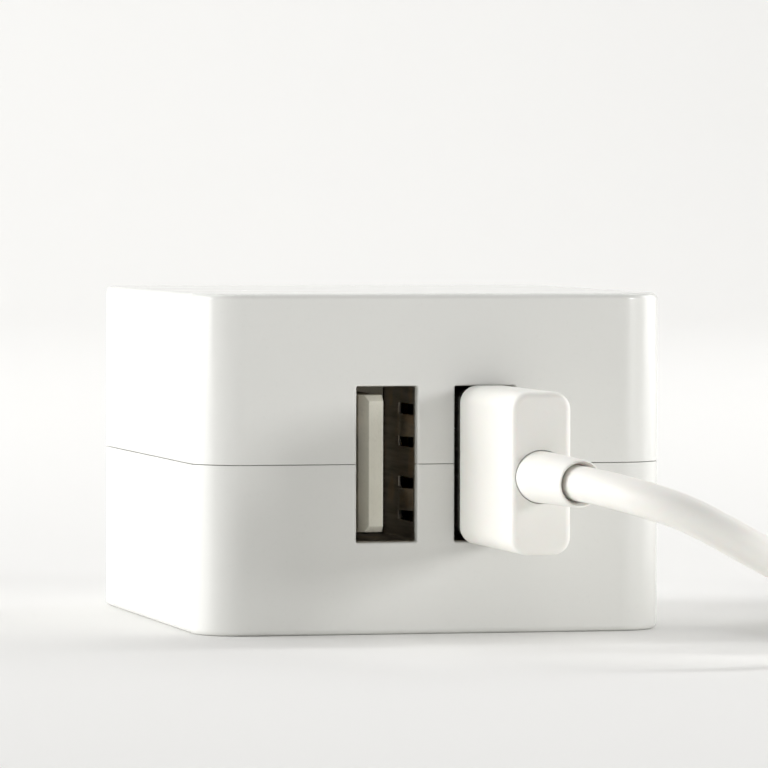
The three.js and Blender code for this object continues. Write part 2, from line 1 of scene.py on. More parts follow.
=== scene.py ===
"""A two-port USB wall charger with folding prongs, and the USB cable plugged into it.

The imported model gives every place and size. The pieces that show are modelled again round it with
fine edges and real wall thicknesses, and everything gets a procedural finish. Shapes are built in
millimetres and turned into metres when a piece is published.
"""
import math

import bmesh
import bpy
from bpy.props import FloatProperty, FloatVectorProperty, PointerProperty
from mathutils import Matrix, Vector


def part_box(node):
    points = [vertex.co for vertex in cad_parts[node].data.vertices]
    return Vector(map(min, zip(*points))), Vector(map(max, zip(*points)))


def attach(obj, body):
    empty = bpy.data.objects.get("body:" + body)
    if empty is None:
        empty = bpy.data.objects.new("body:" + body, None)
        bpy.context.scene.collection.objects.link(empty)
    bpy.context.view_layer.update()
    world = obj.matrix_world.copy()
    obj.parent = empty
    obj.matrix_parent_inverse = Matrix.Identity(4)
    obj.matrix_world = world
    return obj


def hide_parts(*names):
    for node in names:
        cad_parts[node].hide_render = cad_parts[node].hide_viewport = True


bl_info = {
    "name": "USB Wall Charger",
    "version": (1, 0, 0),
    "blender": (4, 5, 0),
    "location": "View3D > Sidebar > Charger",
    "description": "Builds a two-port USB wall charger and its cable round a packed CAD frame",
    "category": "Add Mesh",
}

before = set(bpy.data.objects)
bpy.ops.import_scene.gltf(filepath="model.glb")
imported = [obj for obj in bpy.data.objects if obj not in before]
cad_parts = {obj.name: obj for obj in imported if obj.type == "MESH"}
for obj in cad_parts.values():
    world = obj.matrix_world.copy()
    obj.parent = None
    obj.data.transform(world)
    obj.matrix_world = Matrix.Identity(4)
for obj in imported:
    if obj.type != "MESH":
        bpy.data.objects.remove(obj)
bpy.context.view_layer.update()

MM = 0.001


# ------------------------------------------------------------------ places taken from the frame


def extent(node):
    """Lowest and highest corner of a CAD node, in millimetres."""
    low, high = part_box(node)
    return low / MM, high / MM


def middle(node):
    low, high = extent(node)
    return (low + high) / 2


LOW, _ = extent("lower_shell")
_, HIGH = extent("upper_shell")
WIDTH = HIGH.x - LOW.x
DEPTH = HIGH.y - LOW.y
HEIGHT = HIGH.z
FRONT = LOW.y
BACK = HIGH.y
MID = HEIGHT / 2
PORT_X = {side: middle(f"{side}_receptacle_shell").x for side in ("left", "right")}
CONTACTS = ("vbus", "data_minus", "data_plus", "ground")
PIVOT = middle("prong_carrier")
PIVOT_Y = 18  # the upright axis on which the prongs fold
POLES = ("neutral", "line")
BLADE_Z = [middle(f"prong_blade_{pole}").z for pole in POLES]
BLADE_TIP = extent("prong_blade_line")[1].x
BLADE_HALF = (extent("prong_blade_line")[1].y - extent("prong_blade_line")[0].y) / 2
BLADE_THICK = 1.5
BARREL_RADIUS = 3.3
BARREL_END = 2.2  # from a blade's middle to the barrel's nearest end
PLAY = 0.3  # room round the moving prongs
RECEPTACLE_WIDE = 5.7


# ------------------------------------------------------------------ sizes and colours to change


def length(name, description, millimetres):
    """A length setting whose default is given in millimetres."""
    return FloatProperty(
        name=name, description=description, default=millimetres * MM, min=0, unit="LENGTH", precision=5
    )


def colour(name, description, value):
    return FloatVectorProperty(
        name=name, description=description, default=value, size=3, min=0, max=1, subtype="COLOR"
    )


def power(name, which, watts):
    """The power setting of one of the lights."""
    return FloatProperty(name=name, description=f"Power of {which} in watts", default=watts, min=0)


class HousingSettings(bpy.types.PropertyGroup):
    corner: length("Corner radius", "Radius of the four upright corners", 4)
    rim: length("Rim radius", "Rounding of the top and bottom rims", 0.5)
    wall: length("Wall", "Thickness of the moulded walls", 2)
    seam: length("Seam gap", "Gap between the two halves", 0.04)
    lead_in: length("Lead-in", "Rounding of the mouths of ports and slots", 0.2)
    tint: colour("Plastic", "Colour of the glossy plastic", (0.84, 0.84, 0.81))
    roughness: FloatProperty(
        name="Roughness", description="Roughness of the glossy plastic", default=0.24, subtype="FACTOR"
    )


class PortSettings(bpy.types.PropertyGroup):
    wide: length("Opening width", "Width of a port's opening in the plastic", 5.05)
    tall: length("Opening height", "Height of a port's opening in the plastic", 12.6)
    sheet: length("Sheet", "Thickness of the stamped receptacle shell", 0.3)
    steel: colour("Steel", "Colour of the receptacle shell", (0.46, 0.415, 0.355))
    tongue: colour("Tongue", "Colour of the moulded tongue", (0.8, 0.78, 0.68))


class ProngSettings(bpy.types.PropertyGroup):
    edge: length("Blade edge", "Rounding of the blades' edges", 0.22)
    plating: colour("Plating", "Colour of the nickel plate", (0.72, 0.71, 0.68))


class CableSettings(bpy.types.PropertyGroup):
    diameter: length("Cable diameter", "Diameter of the cable", 2.8)
    grip_corner: length("Grip corner", "Radius of the plug grip's long edges", 1.4)
    turns: FloatProperty(name="Turns", description="Turns in the coil", default=8.25, min=2)
    white: colour("Jacket", "Colour of the cable and its mouldings", (0.895, 0.885, 0.845))
    strap: colour("Strap", "Colour of the woven strap", (0.72, 0.72, 0.7))


class StudioSettings(bpy.types.PropertyGroup):
    lens: FloatProperty(name="Lens", description="Focal length in millimetres", default=293.94, min=1)
    backdrop: colour("Backdrop", "Colour of floor and backdrop", (0.875, 0.87, 0.855))
    ambient: FloatProperty(name="Ambient", description="Strength of the surroundings", default=0.15)
    key: power("Key light", "the left light", 9.4)
    front: power("Front light", "the far front light", 1.2)
    rim: power("Rim light", "the far right light", 5.4)
    fill: power("Fill light", "the small right light", 1.15)
    wash: power("Backdrop light", "the backdrop's light", 23)


SETTINGS = {
    "charger_housing": HousingSettings,
    "charger_ports": PortSettings,
    "charger_prongs": ProngSettings,
    "charger_cable": CableSettings,
    "charger_studio": StudioSettings,
}


# ------------------------------------------------------------------ shaping helpers, in millimetres


def block(x0, x1, y0, y1, z0, z1):
    """A box between two corners."""
    bm = bmesh.new()
    size = Vector((x1 - x0, y1 - y0, z1 - z0))
    centre = Vector((x0 + x1, y0 + y1, z0 + z1)) / 2
    bmesh.ops.create_cube(bm, size=1, matrix=Matrix.LocRotScale(centre, None, size))
    return bm


def rounded(bm, chosen, affect, radius, segments):
    """Rounds the chosen edges of a solid, or the chosen corners of a flat sheet."""
    bmesh.ops.bevel(
        bm,
        geom=chosen,
        offset=radius,
        offset_type="OFFSET",
        affect=affect,
        segments=segments,
        profile=0.5,
        material=-1,
        clamp_overlap=False,
    )
    return bm


def round_edges(bm, radius, segments, test):
    """Rounds the edges whose two ends pass the test."""
    chosen = [e for e in bm.edges if test(e.verts[0].co, e.verts[1].co)]
    return rounded(bm, chosen, "EDGES", radius, segments)


def upright(a, b):
    return math.hypot(a.x - b.x, a.y - b.y) < 1e-4


def level(axis, at):
    """A test for edges that lie wholly at one place along an axis."""
    return lambda a, b: abs(a[axis] - at) < 1e-4 and abs(b[axis] - at) < 1e-4


def slab(wide, deep, radius, z0, z1, segments=12):
    """A box on the middle axis with round upright corners."""
    bm = block(-wide / 2, wide / 2, -deep / 2, deep / 2, z0, z1)
    return round_edges(bm, radius, segments, upright)


def ring_of(bm, wide, tall, radius, along, segments):
    """Adds a rounded rectangle at a height and returns its rim edges and its face."""
    before = set(bm.verts)
    corners = bmesh.ops.create_grid(bm, x_segments=1, y_segments=1, size=0.5)["verts"]
    bmesh.ops.scale(bm, vec=(wide, tall, 1), verts=corners)
    bmesh.ops.translate(bm, vec=(0, 0, along), verts=corners)
    rounded(bm, corners, "VERTICES", radius, segments)
    verts = [v for v in bm.verts if v not in before]
    return list({e for v in verts for e in v.link_edges}), verts[0].link_faces[0]


def stack(sections, segments=5):
    """A closed solid through rounded rectangles, given as (height, wide, tall, radius)."""
    bm = bmesh.new()
    rings = [ring_of(bm, wide, tall, radius, along, segments) for along, wide, tall, radius in sections]
    bmesh.ops.delete(bm, geom=[face for _, face in rings[1:-1]], context="FACES_ONLY")
    for (below, _), (above, _) in zip(rings, rings[1:]):
        bmesh.ops.bridge_loops(bm, edges=below + above)
    bmesh.ops.recalc_face_normals(bm, faces=bm.faces)
    return bm


def rounded_end(at, inwards, fillet, outline, steps=5):
    """Sections from an end face inwards (1 or -1) over its fillet, or over its flare below zero."""
    wide, tall, radius = outline
    sections = []
    for i in range(steps + 1):
        turn = math.pi / 2 * i / steps
        inset = fillet * (1 - math.sin(turn))
        along = at + inwards * abs(fillet) * (1 - math.cos(turn))
        sections.append((along, wide - 2 * inset, tall - 2 * inset, radius - inset))
    return sections


def lay_along_y(bm, x=0, z=0):
    """Turns a shape that was built along Z to run along Y, with its own Y upright."""
    turn = Matrix(((1, 0, 0, x), (0, 0, 1, 0), (0, 1, 0, z), (0, 0, 0, 1)))
    bmesh.ops.transform(bm, matrix=turn, verts=bm.verts)
    bmesh.ops.recalc_face_normals(bm, faces=bm.faces)
    return bm


def mouth(x, z, wide, tall, radius, face, depth, lead_in, outward):
    """A cutter for an opening in the front or back face, whose rim it rounds."""
    flare = rounded_end(0, -outward, -lead_in, (wide, tall, radius), 3)
    sections = [(outward, *flare[0][1:]), *flare, (-outward * depth, wide, tall, radius)]
    bm = lay_along_y(stack(sections, 3), x, z)
    return moved(bm, (0, face, 0))


def turned(profile, centre=(0, 0, 0), steps=32):
    """A body turned about an upright axis from (radius, height) points that start and end on it."""
    bm = bmesh.new()
    points = [bm.verts.new((r, 0, z)) for r, z in profile]
    edges = [bm.edges.new(pair) for pair in zip(points, points[1:])]
    bmesh.ops.spin(
        bm,
        geom=points + edges,
        cent=(0, 0, 0),
        axis=(0, 0, 1),
        angle=2 * math.pi,
        steps=steps,
        use_merge=True,
    )
    bmesh.ops.remove_doubles(bm, verts=bm.verts, dist=1e-4)
    bmesh.ops.recalc_face_normals(bm, faces=bm.faces)
    return moved(bm, centre)


def rod(radius, low, high, centre=(0, 0, 0), steps=32):
    """A plain upright cylinder."""
    return turned([(0, low), (radius, low), (radius, high), (0, high)], centre, steps)


def drawn(outline, thick, base=0):
    """A flat outline in X and Y, drawn out upwards by a thickness from its base."""
    bm = bmesh.new()
    face = bm.faces.new([bm.verts.new((x, y, 0)) for x, y in outline])
    sides = bmesh.ops.extrude_face_region(bm, geom=[face], use_keep_orig=True)
    top = [g for g in sides["geom"] if isinstance(g, bmesh.types.BMVert)]
    bmesh.ops.translate(bm, vec=(0, 0, thick), verts=top)
    bmesh.ops.recalc_face_normals(bm, faces=bm.faces)
    return moved(bm, (0, 0, base))


def tube(stations, sides=32):
    """A round solid through stations of (point, direction, radius)."""
    bm = bmesh.new()
    rings = []
    for i, (point, direction, radius) in enumerate(stations):
        before = set(bm.verts)
        turn = direction.to_track_quat("Z", "Y").to_matrix().to_4x4()
        bmesh.ops.create_circle(
            bm,
            cap_ends=i in (0, len(stations) - 1),
            segments=sides,
            radius=radius,
            matrix=Matrix.Translation(point) @ turn,
        )
        verts = [v for v in bm.verts if v not in before]
        rings.append([e for v in verts for e in v.link_edges])
    for below, above in zip(rings, rings[1:]):
        bmesh.ops.bridge_loops(bm, edges=list(set(below + above)))
    bmesh.ops.recalc_face_normals(bm, faces=bm.faces)
    return bm


def in_scene(name, data):
    """A new object that holds the data, linked into the scene."""
    made = bpy.data.objects.new(name, data)
    bpy.context.scene.collection.objects.link(made)
    return made


def mesh_of(name, bm):
    """A mesh with the shape, which is used up."""
    mesh = bpy.data.meshes.new(name)
    bm.to_mesh(mesh)
    bm.free()
    return mesh


def carve(bm, tools, operation="DIFFERENCE"):
    """The solid cut by, or joined to, each tool in turn. It uses up every shape given."""
    base, *helpers = [in_scene("workpiece", mesh_of("workpiece", shape)) for shape in (bm, *tools)]
    for helper in helpers:
        step = base.modifiers.new("step", "BOOLEAN")
        step.operation = operation
        step.solver = "EXACT"
        step.object = helper
    result = bmesh.new()
    result.from_object(base, bpy.context.evaluated_depsgraph_get())
    for spent in [base, *helpers]:
        bpy.data.meshes.remove(spent.data)
    return result


def join(bm, tools):
    return carve(bm, tools, "UNION")


def turned_to_y(place):
    """Where a body that was turned about Z goes when it is to point along Y from a place."""
    return Matrix.Translation(place) @ Matrix.Rotation(-math.pi / 2, 4, "X")


def placed(bm, matrix):
    bmesh.ops.transform(bm, matrix=matrix, verts=bm.verts)
    return bm


def moved(bm, offset):
    bmesh.ops.translate(bm, vec=offset, verts=bm.verts)
    return bm


def soften(piece, width, segments=2, angle=30):
    """Rounds a piece's sharp edges and keeps its flats flat."""
    if width:
        edge = piece.modifiers.new("edges", "BEVEL")
        edge.width = width * MM
        edge.segments = segments
        edge.limit_method = "ANGLE"
        edge.angle_limit = math.radians(angle)
        edge.use_clamp_overlap = False
        edge.harden_normals = False
    flats = piece.modifiers.new("flats", "WEIGHTED_NORMAL")
    flats.keep_sharp = True
    return piece


def publish(name, bm, look, body, nodes=(), edge=0.0, segments=2, sharp=30):
    """Makes a finished piece in metres that rides on a body and stands for CAD nodes."""
    bmesh.ops.remove_doubles(bm, verts=bm.verts, dist=1e-4)
    bmesh.ops.scale(bm, vec=(MM, MM, MM), verts=bm.verts)
    mesh = mesh_of(name, bm)
    mesh.materials.append(finish(look))
    mesh.shade_smooth()
    if not edge:
        mesh.set_sharp_from_angle(angle=math.radians(sharp))
    piece = soften(in_scene(name, mesh), edge, segments)
    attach(piece, body)
    if nodes:
        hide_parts(*nodes)
    return piece


# ------------------------------------------------------------------ finishes


class Finish:
    """One procedural material, patterned on object coordinates."""

    def __init__(self, name, tint, roughness, metallic=0.0, **constants):
        self.material = bpy.data.materials.new(name)
        self.material.use_nodes = True
        self.tree = self.material.node_tree
        self.shader = self.tree.nodes["Principled BSDF"]
        self.tint = (*tint, 1)
        self.shader.inputs["Base Color"].default_value = self.tint
        self.shader.inputs["Roughness"].default_value = roughness
        self.shader.inputs["Metallic"].default_value = metallic
        for socket, value in constants.items():
            self.shader.inputs[socket.replace("_", " ")].default_value = value
        self.coords = self.node("ShaderNodeTexCoord").outputs["Object"]
        self.normal = None

    def node(self, kind, inputs=None, **settings):
        made = self.tree.nodes.new(kind)
        for key, value in settings.items():
            setattr(made, key, value)
        for key, value in (inputs or {}).items():
            if isinstance(value, bpy.types.NodeSocket):
                self.tree.links.new(value, made.inputs[key])
            else:
                made.inputs[key].default_value = value
        return made

    def grain(self, size, detail=2, roughness=0.5, stretch=None, turn=(0, 0, 0)):
        """Noise whose lumps are about this many millimetres across."""
        vector = self.coords
        if stretch:
            vector = self.node(
                "ShaderNodeMapping", {"Vector": vector, "Scale": stretch, "Rotation": turn}
            ).outputs["Vector"]
        values = {"Vector": vector, "Scale": 1 / (size * MM), "Detail": detail, "Roughness": roughness}
        return self.node("ShaderNodeTexNoise", values).outputs["Fac"]

    def between(self, value, low, high, start=0.0, end=1.0):
        """A value eased from one range to another, with no edge where it reaches its ends."""
        values = {"Value": value, "From Min": low, "From Max": high, "To Min": start, "To Max": end}
        return self.node("ShaderNodeMapRange", values, interpolation_type="SMOOTHSTEP").outputs["Result"]

    def maths(self, operation, a, b=0.5):
        return self.node("ShaderNodeMath", {0: a, 1: b}, operation=operation).outputs[0]

    def tone(self, mask, other):
        """Mixes another colour in where the mask is high, over what is there already."""
        socket = self.shader.inputs["Base Color"]
        under = socket.links[0].from_socket if socket.is_linked else self.tint
        a, b, mixed = 6, 7, 2  # the colour sockets among those of every data type
        mix = self.node("ShaderNodeMix", {"Factor": mask, a: under, b: (*other, 1)}, data_type="RGBA")
        self.tree.links.new(mix.outputs[mixed], socket)
        return self

    def rough(self, mask, low, high):
        """Roughness that follows a noise mask, which keeps mostly to its middle values."""
        gain = 1.8 * (high - low)
        spread = self.maths("MULTIPLY", mask, gain)
        level_at = self.maths("ADD", spread, (low + high - gain) / 2)
        self.tree.links.new(level_at, self.shader.inputs["Roughness"])
        return self

    def bump(self, height, depth, strength=1.0):
        """Relief of a depth in millimetres, added to the relief that is there."""
        values = {"Height": height, "Distance": depth * MM, "Strength": strength}
        if self.normal:
            values["Normal"] = self.normal
        self.normal = self.node("ShaderNodeBump", values).outputs["Normal"]
        self.tree.links.new(self.normal, self.shader.inputs["Normal"])
        return self


def darker(tint, share):
    return tuple(c * share for c in tint)


def paler(tint, share, lift=0.0):
    return tuple(min(1, c * share + lift) for c in tint)


def toned(tint, *shares):
    """A colour with its red, green and blue scaled by one share each."""
    return tuple(c * share for c, share in zip(tint, shares))


def gloss_plastic(settings):
    """Polished moulding: faint flow lines, the softest orange peel and a few handling marks."""
    gloss = {"Coat_Weight": 0.25, "Coat_Roughness": 0.06}
    made = Finish("glossy_white_plastic", settings.tint, settings.roughness, **gloss)
    made.tone(made.between(made.grain(16, 1), 0.1, 0.9, 0, 0.4), darker(settings.tint, 0.97))
    made.tone(made.between(made.grain(0.35, 1), 0.6, 0.85, 0, 0.12), darker(settings.tint, 0.85))
    made.rough(made.grain(9, 2, 0.5), settings.roughness * 0.9, settings.roughness * 1.15)
    made.bump(made.grain(1.6, 2), 0.012, 0.35)
    made.bump(made.grain(0.18, 1), 0.002, 0.4)
    return made.material


def jacket_plastic(name, tint, roughness=0.46):
    """Soft satin cable plastic: fine pebbling, slow changes of tone and a few scuffs."""
    soft = {"Sheen_Weight": 0.04, "Subsurface_Weight": 0.08, "Subsurface_Scale": 0.0008}
    made = Finish(name, tint, roughness, **soft)
    made.tone(made.between(made.grain(9, 2), 0.25, 0.8, 0, 0.45), toned(tint, 0.97, 0.955, 0.92))
    made.tone(made.between(made.grain(0.5, 2), 0.62, 0.82, 0, 0.15), darker(tint, 0.82))
    made.rough(made.grain(3, 3), roughness * 0.85, roughness * 1.2)
    made.bump(made.grain(0.22, 2), 0.012, 0.4)
    made.bump(made.grain(2.4, 2), 0.02, 0.3)
    return made.material


def stamped_steel(tint):
    """Dull tin-plated sheet: rolling lines along the sheet, stains and bright rubbed grain."""
    made = Finish("stamped_steel", tint, 0.42, 1.0)
    rolled = made.grain(0.5, 3, 0.6, (1, 0.06, 1))
    made.tone(made.between(rolled, 0.4, 0.7, 0, 0.6), darker(tint, 0.6))
    made.tone(made.between(made.grain(3, 4), 0.5, 0.7, 0, 0.6), toned(tint, 1.3, 1.1, 0.85))
    made.rough(rolled, 0.32, 0.55)
    made.bump(rolled, 0.01, 0.5)
    return made.material


def moulded_tongue(tint):
    """Glass-filled cream plastic: fine fibres show as short pale flecks."""
    made = Finish("cream_tongue_plastic", tint, 0.5)
    fibres = made.grain(0.16, 2, 0.5, (1, 0.2, 0.5))
    made.tone(made.between(fibres, 0.5, 0.75, 0, 0.4), darker(tint, 0.86))
    made.tone(made.between(made.grain(4, 2), 0.45, 0.7, 0, 0.4), toned(tint, 0.9, 0.9, 0.86))
    made.rough(fibres, 0.42, 0.62)
    made.bump(fibres, 0.008, 0.5)
    return made.material


def plated_metal(name, tint, roughness=0.24, lines=(1, 0.08, 1), stain=0.75):
    """Plated strip metal: fine lines from rolling or brushing, and light tarnish in patches."""
    made = Finish(name, tint, roughness, 1.0)
    brushed = made.grain(0.3, 3, 0.55, lines)
    made.tone(made.between(made.grain(2.2, 4), 0.52, 0.75, 0, 0.7), darker(tint, stain))
    made.rough(brushed, roughness * 0.75, roughness * 1.5)
    made.bump(brushed, 0.004, 0.5)
    return made.material


def filled_plastic(name, tint, roughness=0.5, fleck=0.3):
    """Matt moulding compound: powdery grain with paler flecks."""
    made = Finish(name, tint, roughness)
    powder = made.grain(0.12, 3)
    made.tone(made.between(powder, 0.55, 0.8, 0, fleck), paler(tint, 1.6, 0.02))
    made.tone(made.between(made.grain(3, 2), 0.4, 0.7, 0, 0.3), darker(tint, 0.8))
    made.rough(powder, roughness * 0.8, roughness * 1.2)
    made.bump(powder, 0.01, 0.6)
    return made.material


def shrink_sleeve(name, tint):
    """Shrunk film over a can: long soft ripples round it, and a paler stripe of wear."""
    made = Finish(name, tint, 0.32, Coat_Weight=0.3, Coat_Roughness=0.15)
    ripples = made.grain(1.1, 2, 0.5, (1, 1, 0.25))
    made.tone(made.between(ripples, 0.45, 0.75, 0, 0.35), paler(tint, 1.5, 0.01))
    made.rough(made.grain(2.5, 3), 0.24, 0.44)
    made.bump(ripples, 0.03, 0.5)
    return made.material


def solder_mask():
    """Green lacquer over copper tracks, which show as a darker, slightly raised pattern."""
    made = Finish("solder_mask_board", (0.03, 0.16, 0.07), 0.35, Coat_Weight=0.4, Coat_Roughness=0.12)
    cells = {"Vector": made.coords, "Scale": 1 / (2.6 * MM), "Randomness": 0.35}
    tracks = made.node("ShaderNodeTexVoronoi", cells, feature="DISTANCE_TO_EDGE").outputs["Distance"]
    copper = made.between(tracks, 0.09, 0.11, 1, 0)
    made.tone(copper, (0.05, 0.26, 0.1))
    made.tone(made.between(made.grain(0.2, 2), 0.6, 0.75, 0, 0.4), (0.02, 0.1, 0.05))
    made.rough(made.grain(2, 3), 0.28, 0.45)
    made.bump(copper, 0.035, 0.6)
    return made.material


def wound_tape():
    """Yellow polyester tape: overlapping wraps with copper wire pressing through."""
    made = Finish("winding_tape", (0.62, 0.42, 0.05), 0.3, Coat_Weight=0.5, Coat_Roughness=0.1)
    wire = made.node(
        "ShaderNodeTexWave",
        {"Vector": made.coords, "Scale": 520, "Distortion": 0.6, "Detail": 1},
        bands_direction="X",
    ).outputs["Fac"]
    made.tone(made.between(wire, 0.2, 0.9, 0, 0.5), (0.42, 0.2, 0.04))
    made.tone(made.between(made.grain(3, 3), 0.5, 0.7, 0, 0.3), (0.75, 0.55, 0.12))
    made.rough(made.grain(1.5, 3), 0.22, 0.42)
    made.bump(wire, 0.04, 0.6)
    return made.material


def woven_strap(tint, turn):
    """Hook-and-loop tape: crossing threads with raised fluff, and painted shade in the gaps between the
    threads.
    """
    made = Finish("woven_strap", tint, 0.85, Sheen_Weight=0.35, Sheen_Roughness=0.5)
    aligned = made.node("ShaderNodeMapping", {"Vector": made.coords, "Rotation": (0, 0, turn)})
    wave = {"Vector": aligned.outputs["Vector"], "Scale": 700, "Distortion": 1.2, "Detail": 2}
    along, across, rising = [
        made.node("ShaderNodeTexWave", wave, bands_direction=axis).outputs["Fac"] for axis in "XYZ"
    ]
    weave = made.maths("MULTIPLY", made.maths("ADD", along, rising), across)
    # Painted shade: the tint is darkened where the weave is lowest, in the gaps between the threads.
    made.tone(made.between(weave, 0.1, 0.9, 0.55, 0), darker(tint, 0.55))
    made.tone(made.between(made.grain(0.4, 3), 0.5, 0.8, 0, 0.5), paler(tint, 1.15))
    made.bump(weave, 0.09, 0.9)
    made.bump(made.grain(0.12, 3), 0.05, 0.7)
    return made.material


FINISHES = {}


def finish(name):
    """The material of a finish, made once."""
    if name not in FINISHES:
        scene = bpy.context.scene
        makers = {
            "housing": lambda: gloss_plastic(scene.charger_housing),
            "jacket": lambda: jacket_plastic("satin_white_jacket", tuple(scene.charger_cable.white)),
            "steel": lambda: stamped_steel(tuple(scene.charger_ports.steel)),
            "tongue": lambda: moulded_tongue(tuple(scene.charger_ports.tongue)),
            "gold": lambda: plated_metal("gold_flash", (0.83, 0.6, 0.24), 0.22),
            "bronze": lambda: plated_metal("phosphor_bronze", (0.58, 0.34, 0.16), 0.3),
            "nickel": lambda: plated_metal("nickel_plate", tuple(scene.charger_prongs.plating), 0.2),
            "black": lambda: filled_plastic("black_moulding", (0.022, 0.022, 0.024)),
            "ferrite": lambda: filled_plastic("sintered_ferrite", (0.05, 0.05, 0.055), 0.62, 0.6),
            "ceramic": lambda: filled_plastic("blue_epoxy_dip", (0.03, 0.11, 0.34), 0.3, 0.15),
            "resistor": lambda: filled_plastic("green_coated_resistor", (0.08, 0.26, 0.12), 0.5, 0.2),
            "sleeve": lambda: shrink_sleeve("black_shrink_sleeve", (0.025, 0.028, 0.036)),
            "green_sleeve": lambda: shrink_sleeve("green_shrink_sleeve", (0.02, 0.14, 0.1)),
            "board": solder_mask,
            "tape": wound_tape,
            "strap": lambda: woven_strap(tuple(scene.charger_cable.strap), -TIE_TURN),
        }
        FINISHES[name] = makers[name]()
    return FINISHES[name]


# ------------------------------------------------------------------ stage, light and camera

CAMERA_YAW = math.radians(13.462)
CAMERA_PITCH = math.radians(1.808)
CAMERA_ROLL = math.radians(0.1185)
CAMERA_PLACE = Vector((-0.12185, -0.51235, 0.03616))


def area_light(name, place, target, size, power, tint=(1, 1, 1)):
    """A soft rectangular light that faces a point."""
    light = bpy.data.lights.new(name, "AREA")
    light.shape = "RECTANGLE"
    light.size, light.size_y = size
    light.energy = power
    light.color = tint
    aim = (Vector(target) - Vector(place)).to_track_quat("-Z", "Y")
    made = in_scene(name, light)
    made.matrix_world = Matrix.Translation(place) @ aim.to_matrix().to_4x4()
    return made


class CHARGER_OT_stage(bpy.types.Operator):
    """Floor that curves up into a backdrop, soft light and the camera"""

    bl_idname = "charger.stage"
    bl_label = "Stage and Light"

    def execute(self, context):
        studio = context.scene.charger_studio
        self.backdrop(studio)
        self.lights(studio)
        self.camera(studio)
        context.scene.view_settings.view_transform = "Standard"
        return {"FINISHED"}

    def backdrop(self, studio):
        """One sheet: flat under the object, curved up behind it. Its sizes are in metres."""
        sheet = bmesh.new()
        half, near, bend, tall = 2.2, -1.6, 1.1, 2.0
        radius = 0.7
        profile = [(near, 0)]
        steps = 24
        for i in range(steps + 1):
            turn = math.pi / 2 * i / steps
            profile.append((bend + radius * math.sin(turn), radius * (1 - math.cos(turn))))
        profile.append((bend + radius, tall))
        line = [sheet.verts.new((-half, y, z)) for y, z in profile]
        edges = [sheet.edges.new(pair) for pair in zip(line, line[1:])]
        drawn_out = bmesh.ops.extrude_edge_only(sheet, edges=edges)["geom"]
        far_side = [g for g in drawn_out if isinstance(g, bmesh.types.BMVert)]
        bmesh.ops.translate(sheet, vec=(2 * half, 0, 0), verts=far_side)
        bmesh.ops.recalc_face_normals(sheet, faces=sheet.faces)
        if sheet.faces[:][0].normal.z < 0:
            bmesh.ops.reverse_faces(sheet, faces=sheet.faces)
        mesh = mesh_of("backdrop", sheet)
        mesh.shade_smooth()
        paper = Finish("backdrop_paper", studio.backdrop, 0.8)
        paper.tone(paper.between(paper.grain(60, 2), 0.4, 0.7, 0, 0.05), darker(studio.backdrop, 0.97))
        paper.bump(paper.grain(0.8, 2), 0.01, 0.15)
        mesh.materials.append(paper.material)
        in_scene("backdrop", mesh)

    def lights(self, studio):
        world = bpy.data.worlds.new("pale_room")
        world.use_nodes = True
        surround = world.node_tree.nodes["Background"]
        surround.inputs["Color"].default_value = (1.0, 0.992, 0.965, 1)
        surround.inputs["Strength"].default_value = studio.ambient
        bpy.context.scene.world = world
        target = (0, -0.02, 0.014)
        area_light("key_left", (-0.8, 0.16, 0.2), target, (0.8, 0.7), studio.key)
        area_light("front_soft", (-0.2, -1.2, 0.45), target, (1.2, 0.8), studio.front)
        area_light("rim_right", (0.8, 0.12, 0.2), target, (0.7, 0.7), studio.rim)
        area_light("fill_right", (0.42, -0.46, 0.13), target, (0.13, 0.13), studio.fill)
        area_light("backdrop_wash", (0, 0.7, 1.5), (0, 1.7, 0.25), (2.4, 0.5), studio.wash)

    def camera(self, studio):
        camera = bpy.data.cameras.new("camera")
        camera.sensor_width = 36
        camera.lens = studio.lens
        camera.clip_start = 0.01
        made = in_scene("camera", camera)
        turn = (
            Matrix.Rotation(-CAMERA_YAW, 4, "Z")
            @ Matrix.Rotation(math.pi / 2 - CAMERA_PITCH, 4, "X")
            @ Matrix.Rotation(CAMERA_ROLL, 4, "Z")
        )
        made.matrix_world = Matrix.Translation(CAMERA_PLACE) @ turn
        bpy.context.scene.camera = made


# ------------------------------------------------------------------ cable, coil and strap

# The cable's middle from the strain relief to the coil, in metres.
CABLE_ROUTE = [
    (0.0052, -0.0475, 0.01327),
    (0.00583, -0.0502, 0.01312),
    (0.00682, -0.0528, 0.01282),
    (0.00855, -0.0554, 0.01226),
    (0.01075, -0.0571, 0.0114),
    (0.01305, -0.0578, 0.0102),
    (0.0154, -0.0578, 0.00892),
    (0.0173, -0.05725, 0.00795),
    (0.0203, -0.05655, 0.0064),
    (0.024, -0.05605, 0.0047),
    (0.0285, -0.05575, 0.00305),
    (0.033, -0.0556, 0.00195),
    (0.0375, -0.05535, 0.00148),
    (0.042, -0.05475, 0.00142),
    (0.047, -0.05345, 0.00142),
    (0.05195, -0.0516, 0.00142),
]
# The strain relief's middle, in metres.
RELIEF_ROUTE = [
    (0.00415, -0.0393, 0.01345),
    (0.00427, -0.042, 0.01344),
    (0.00462, -0.0448, 0.01338),
    (0.00513, -0.0472, 0.01329),
]
COIL_MIDDLE = middle("cable_coil")
COIL_OUTSIDE = (extent("cable_coil")[1].x - extent("cable_coil")[0].x) / 2
OUTER_TURN = COIL_OUTSIDE - 1.4  # the middle of the outermost turn
COIL_PITCH = 2.85
ENTRY_ANGLE = math.radians(-65)
TIE_TURN = math.radians(-30)
TAIL_TURN = math.radians(25)
TAIL_LONG = 14  # from the coil to the connector's strain relief
REST_HEIGHT = 0.05  # the lowest of the cable over the surface


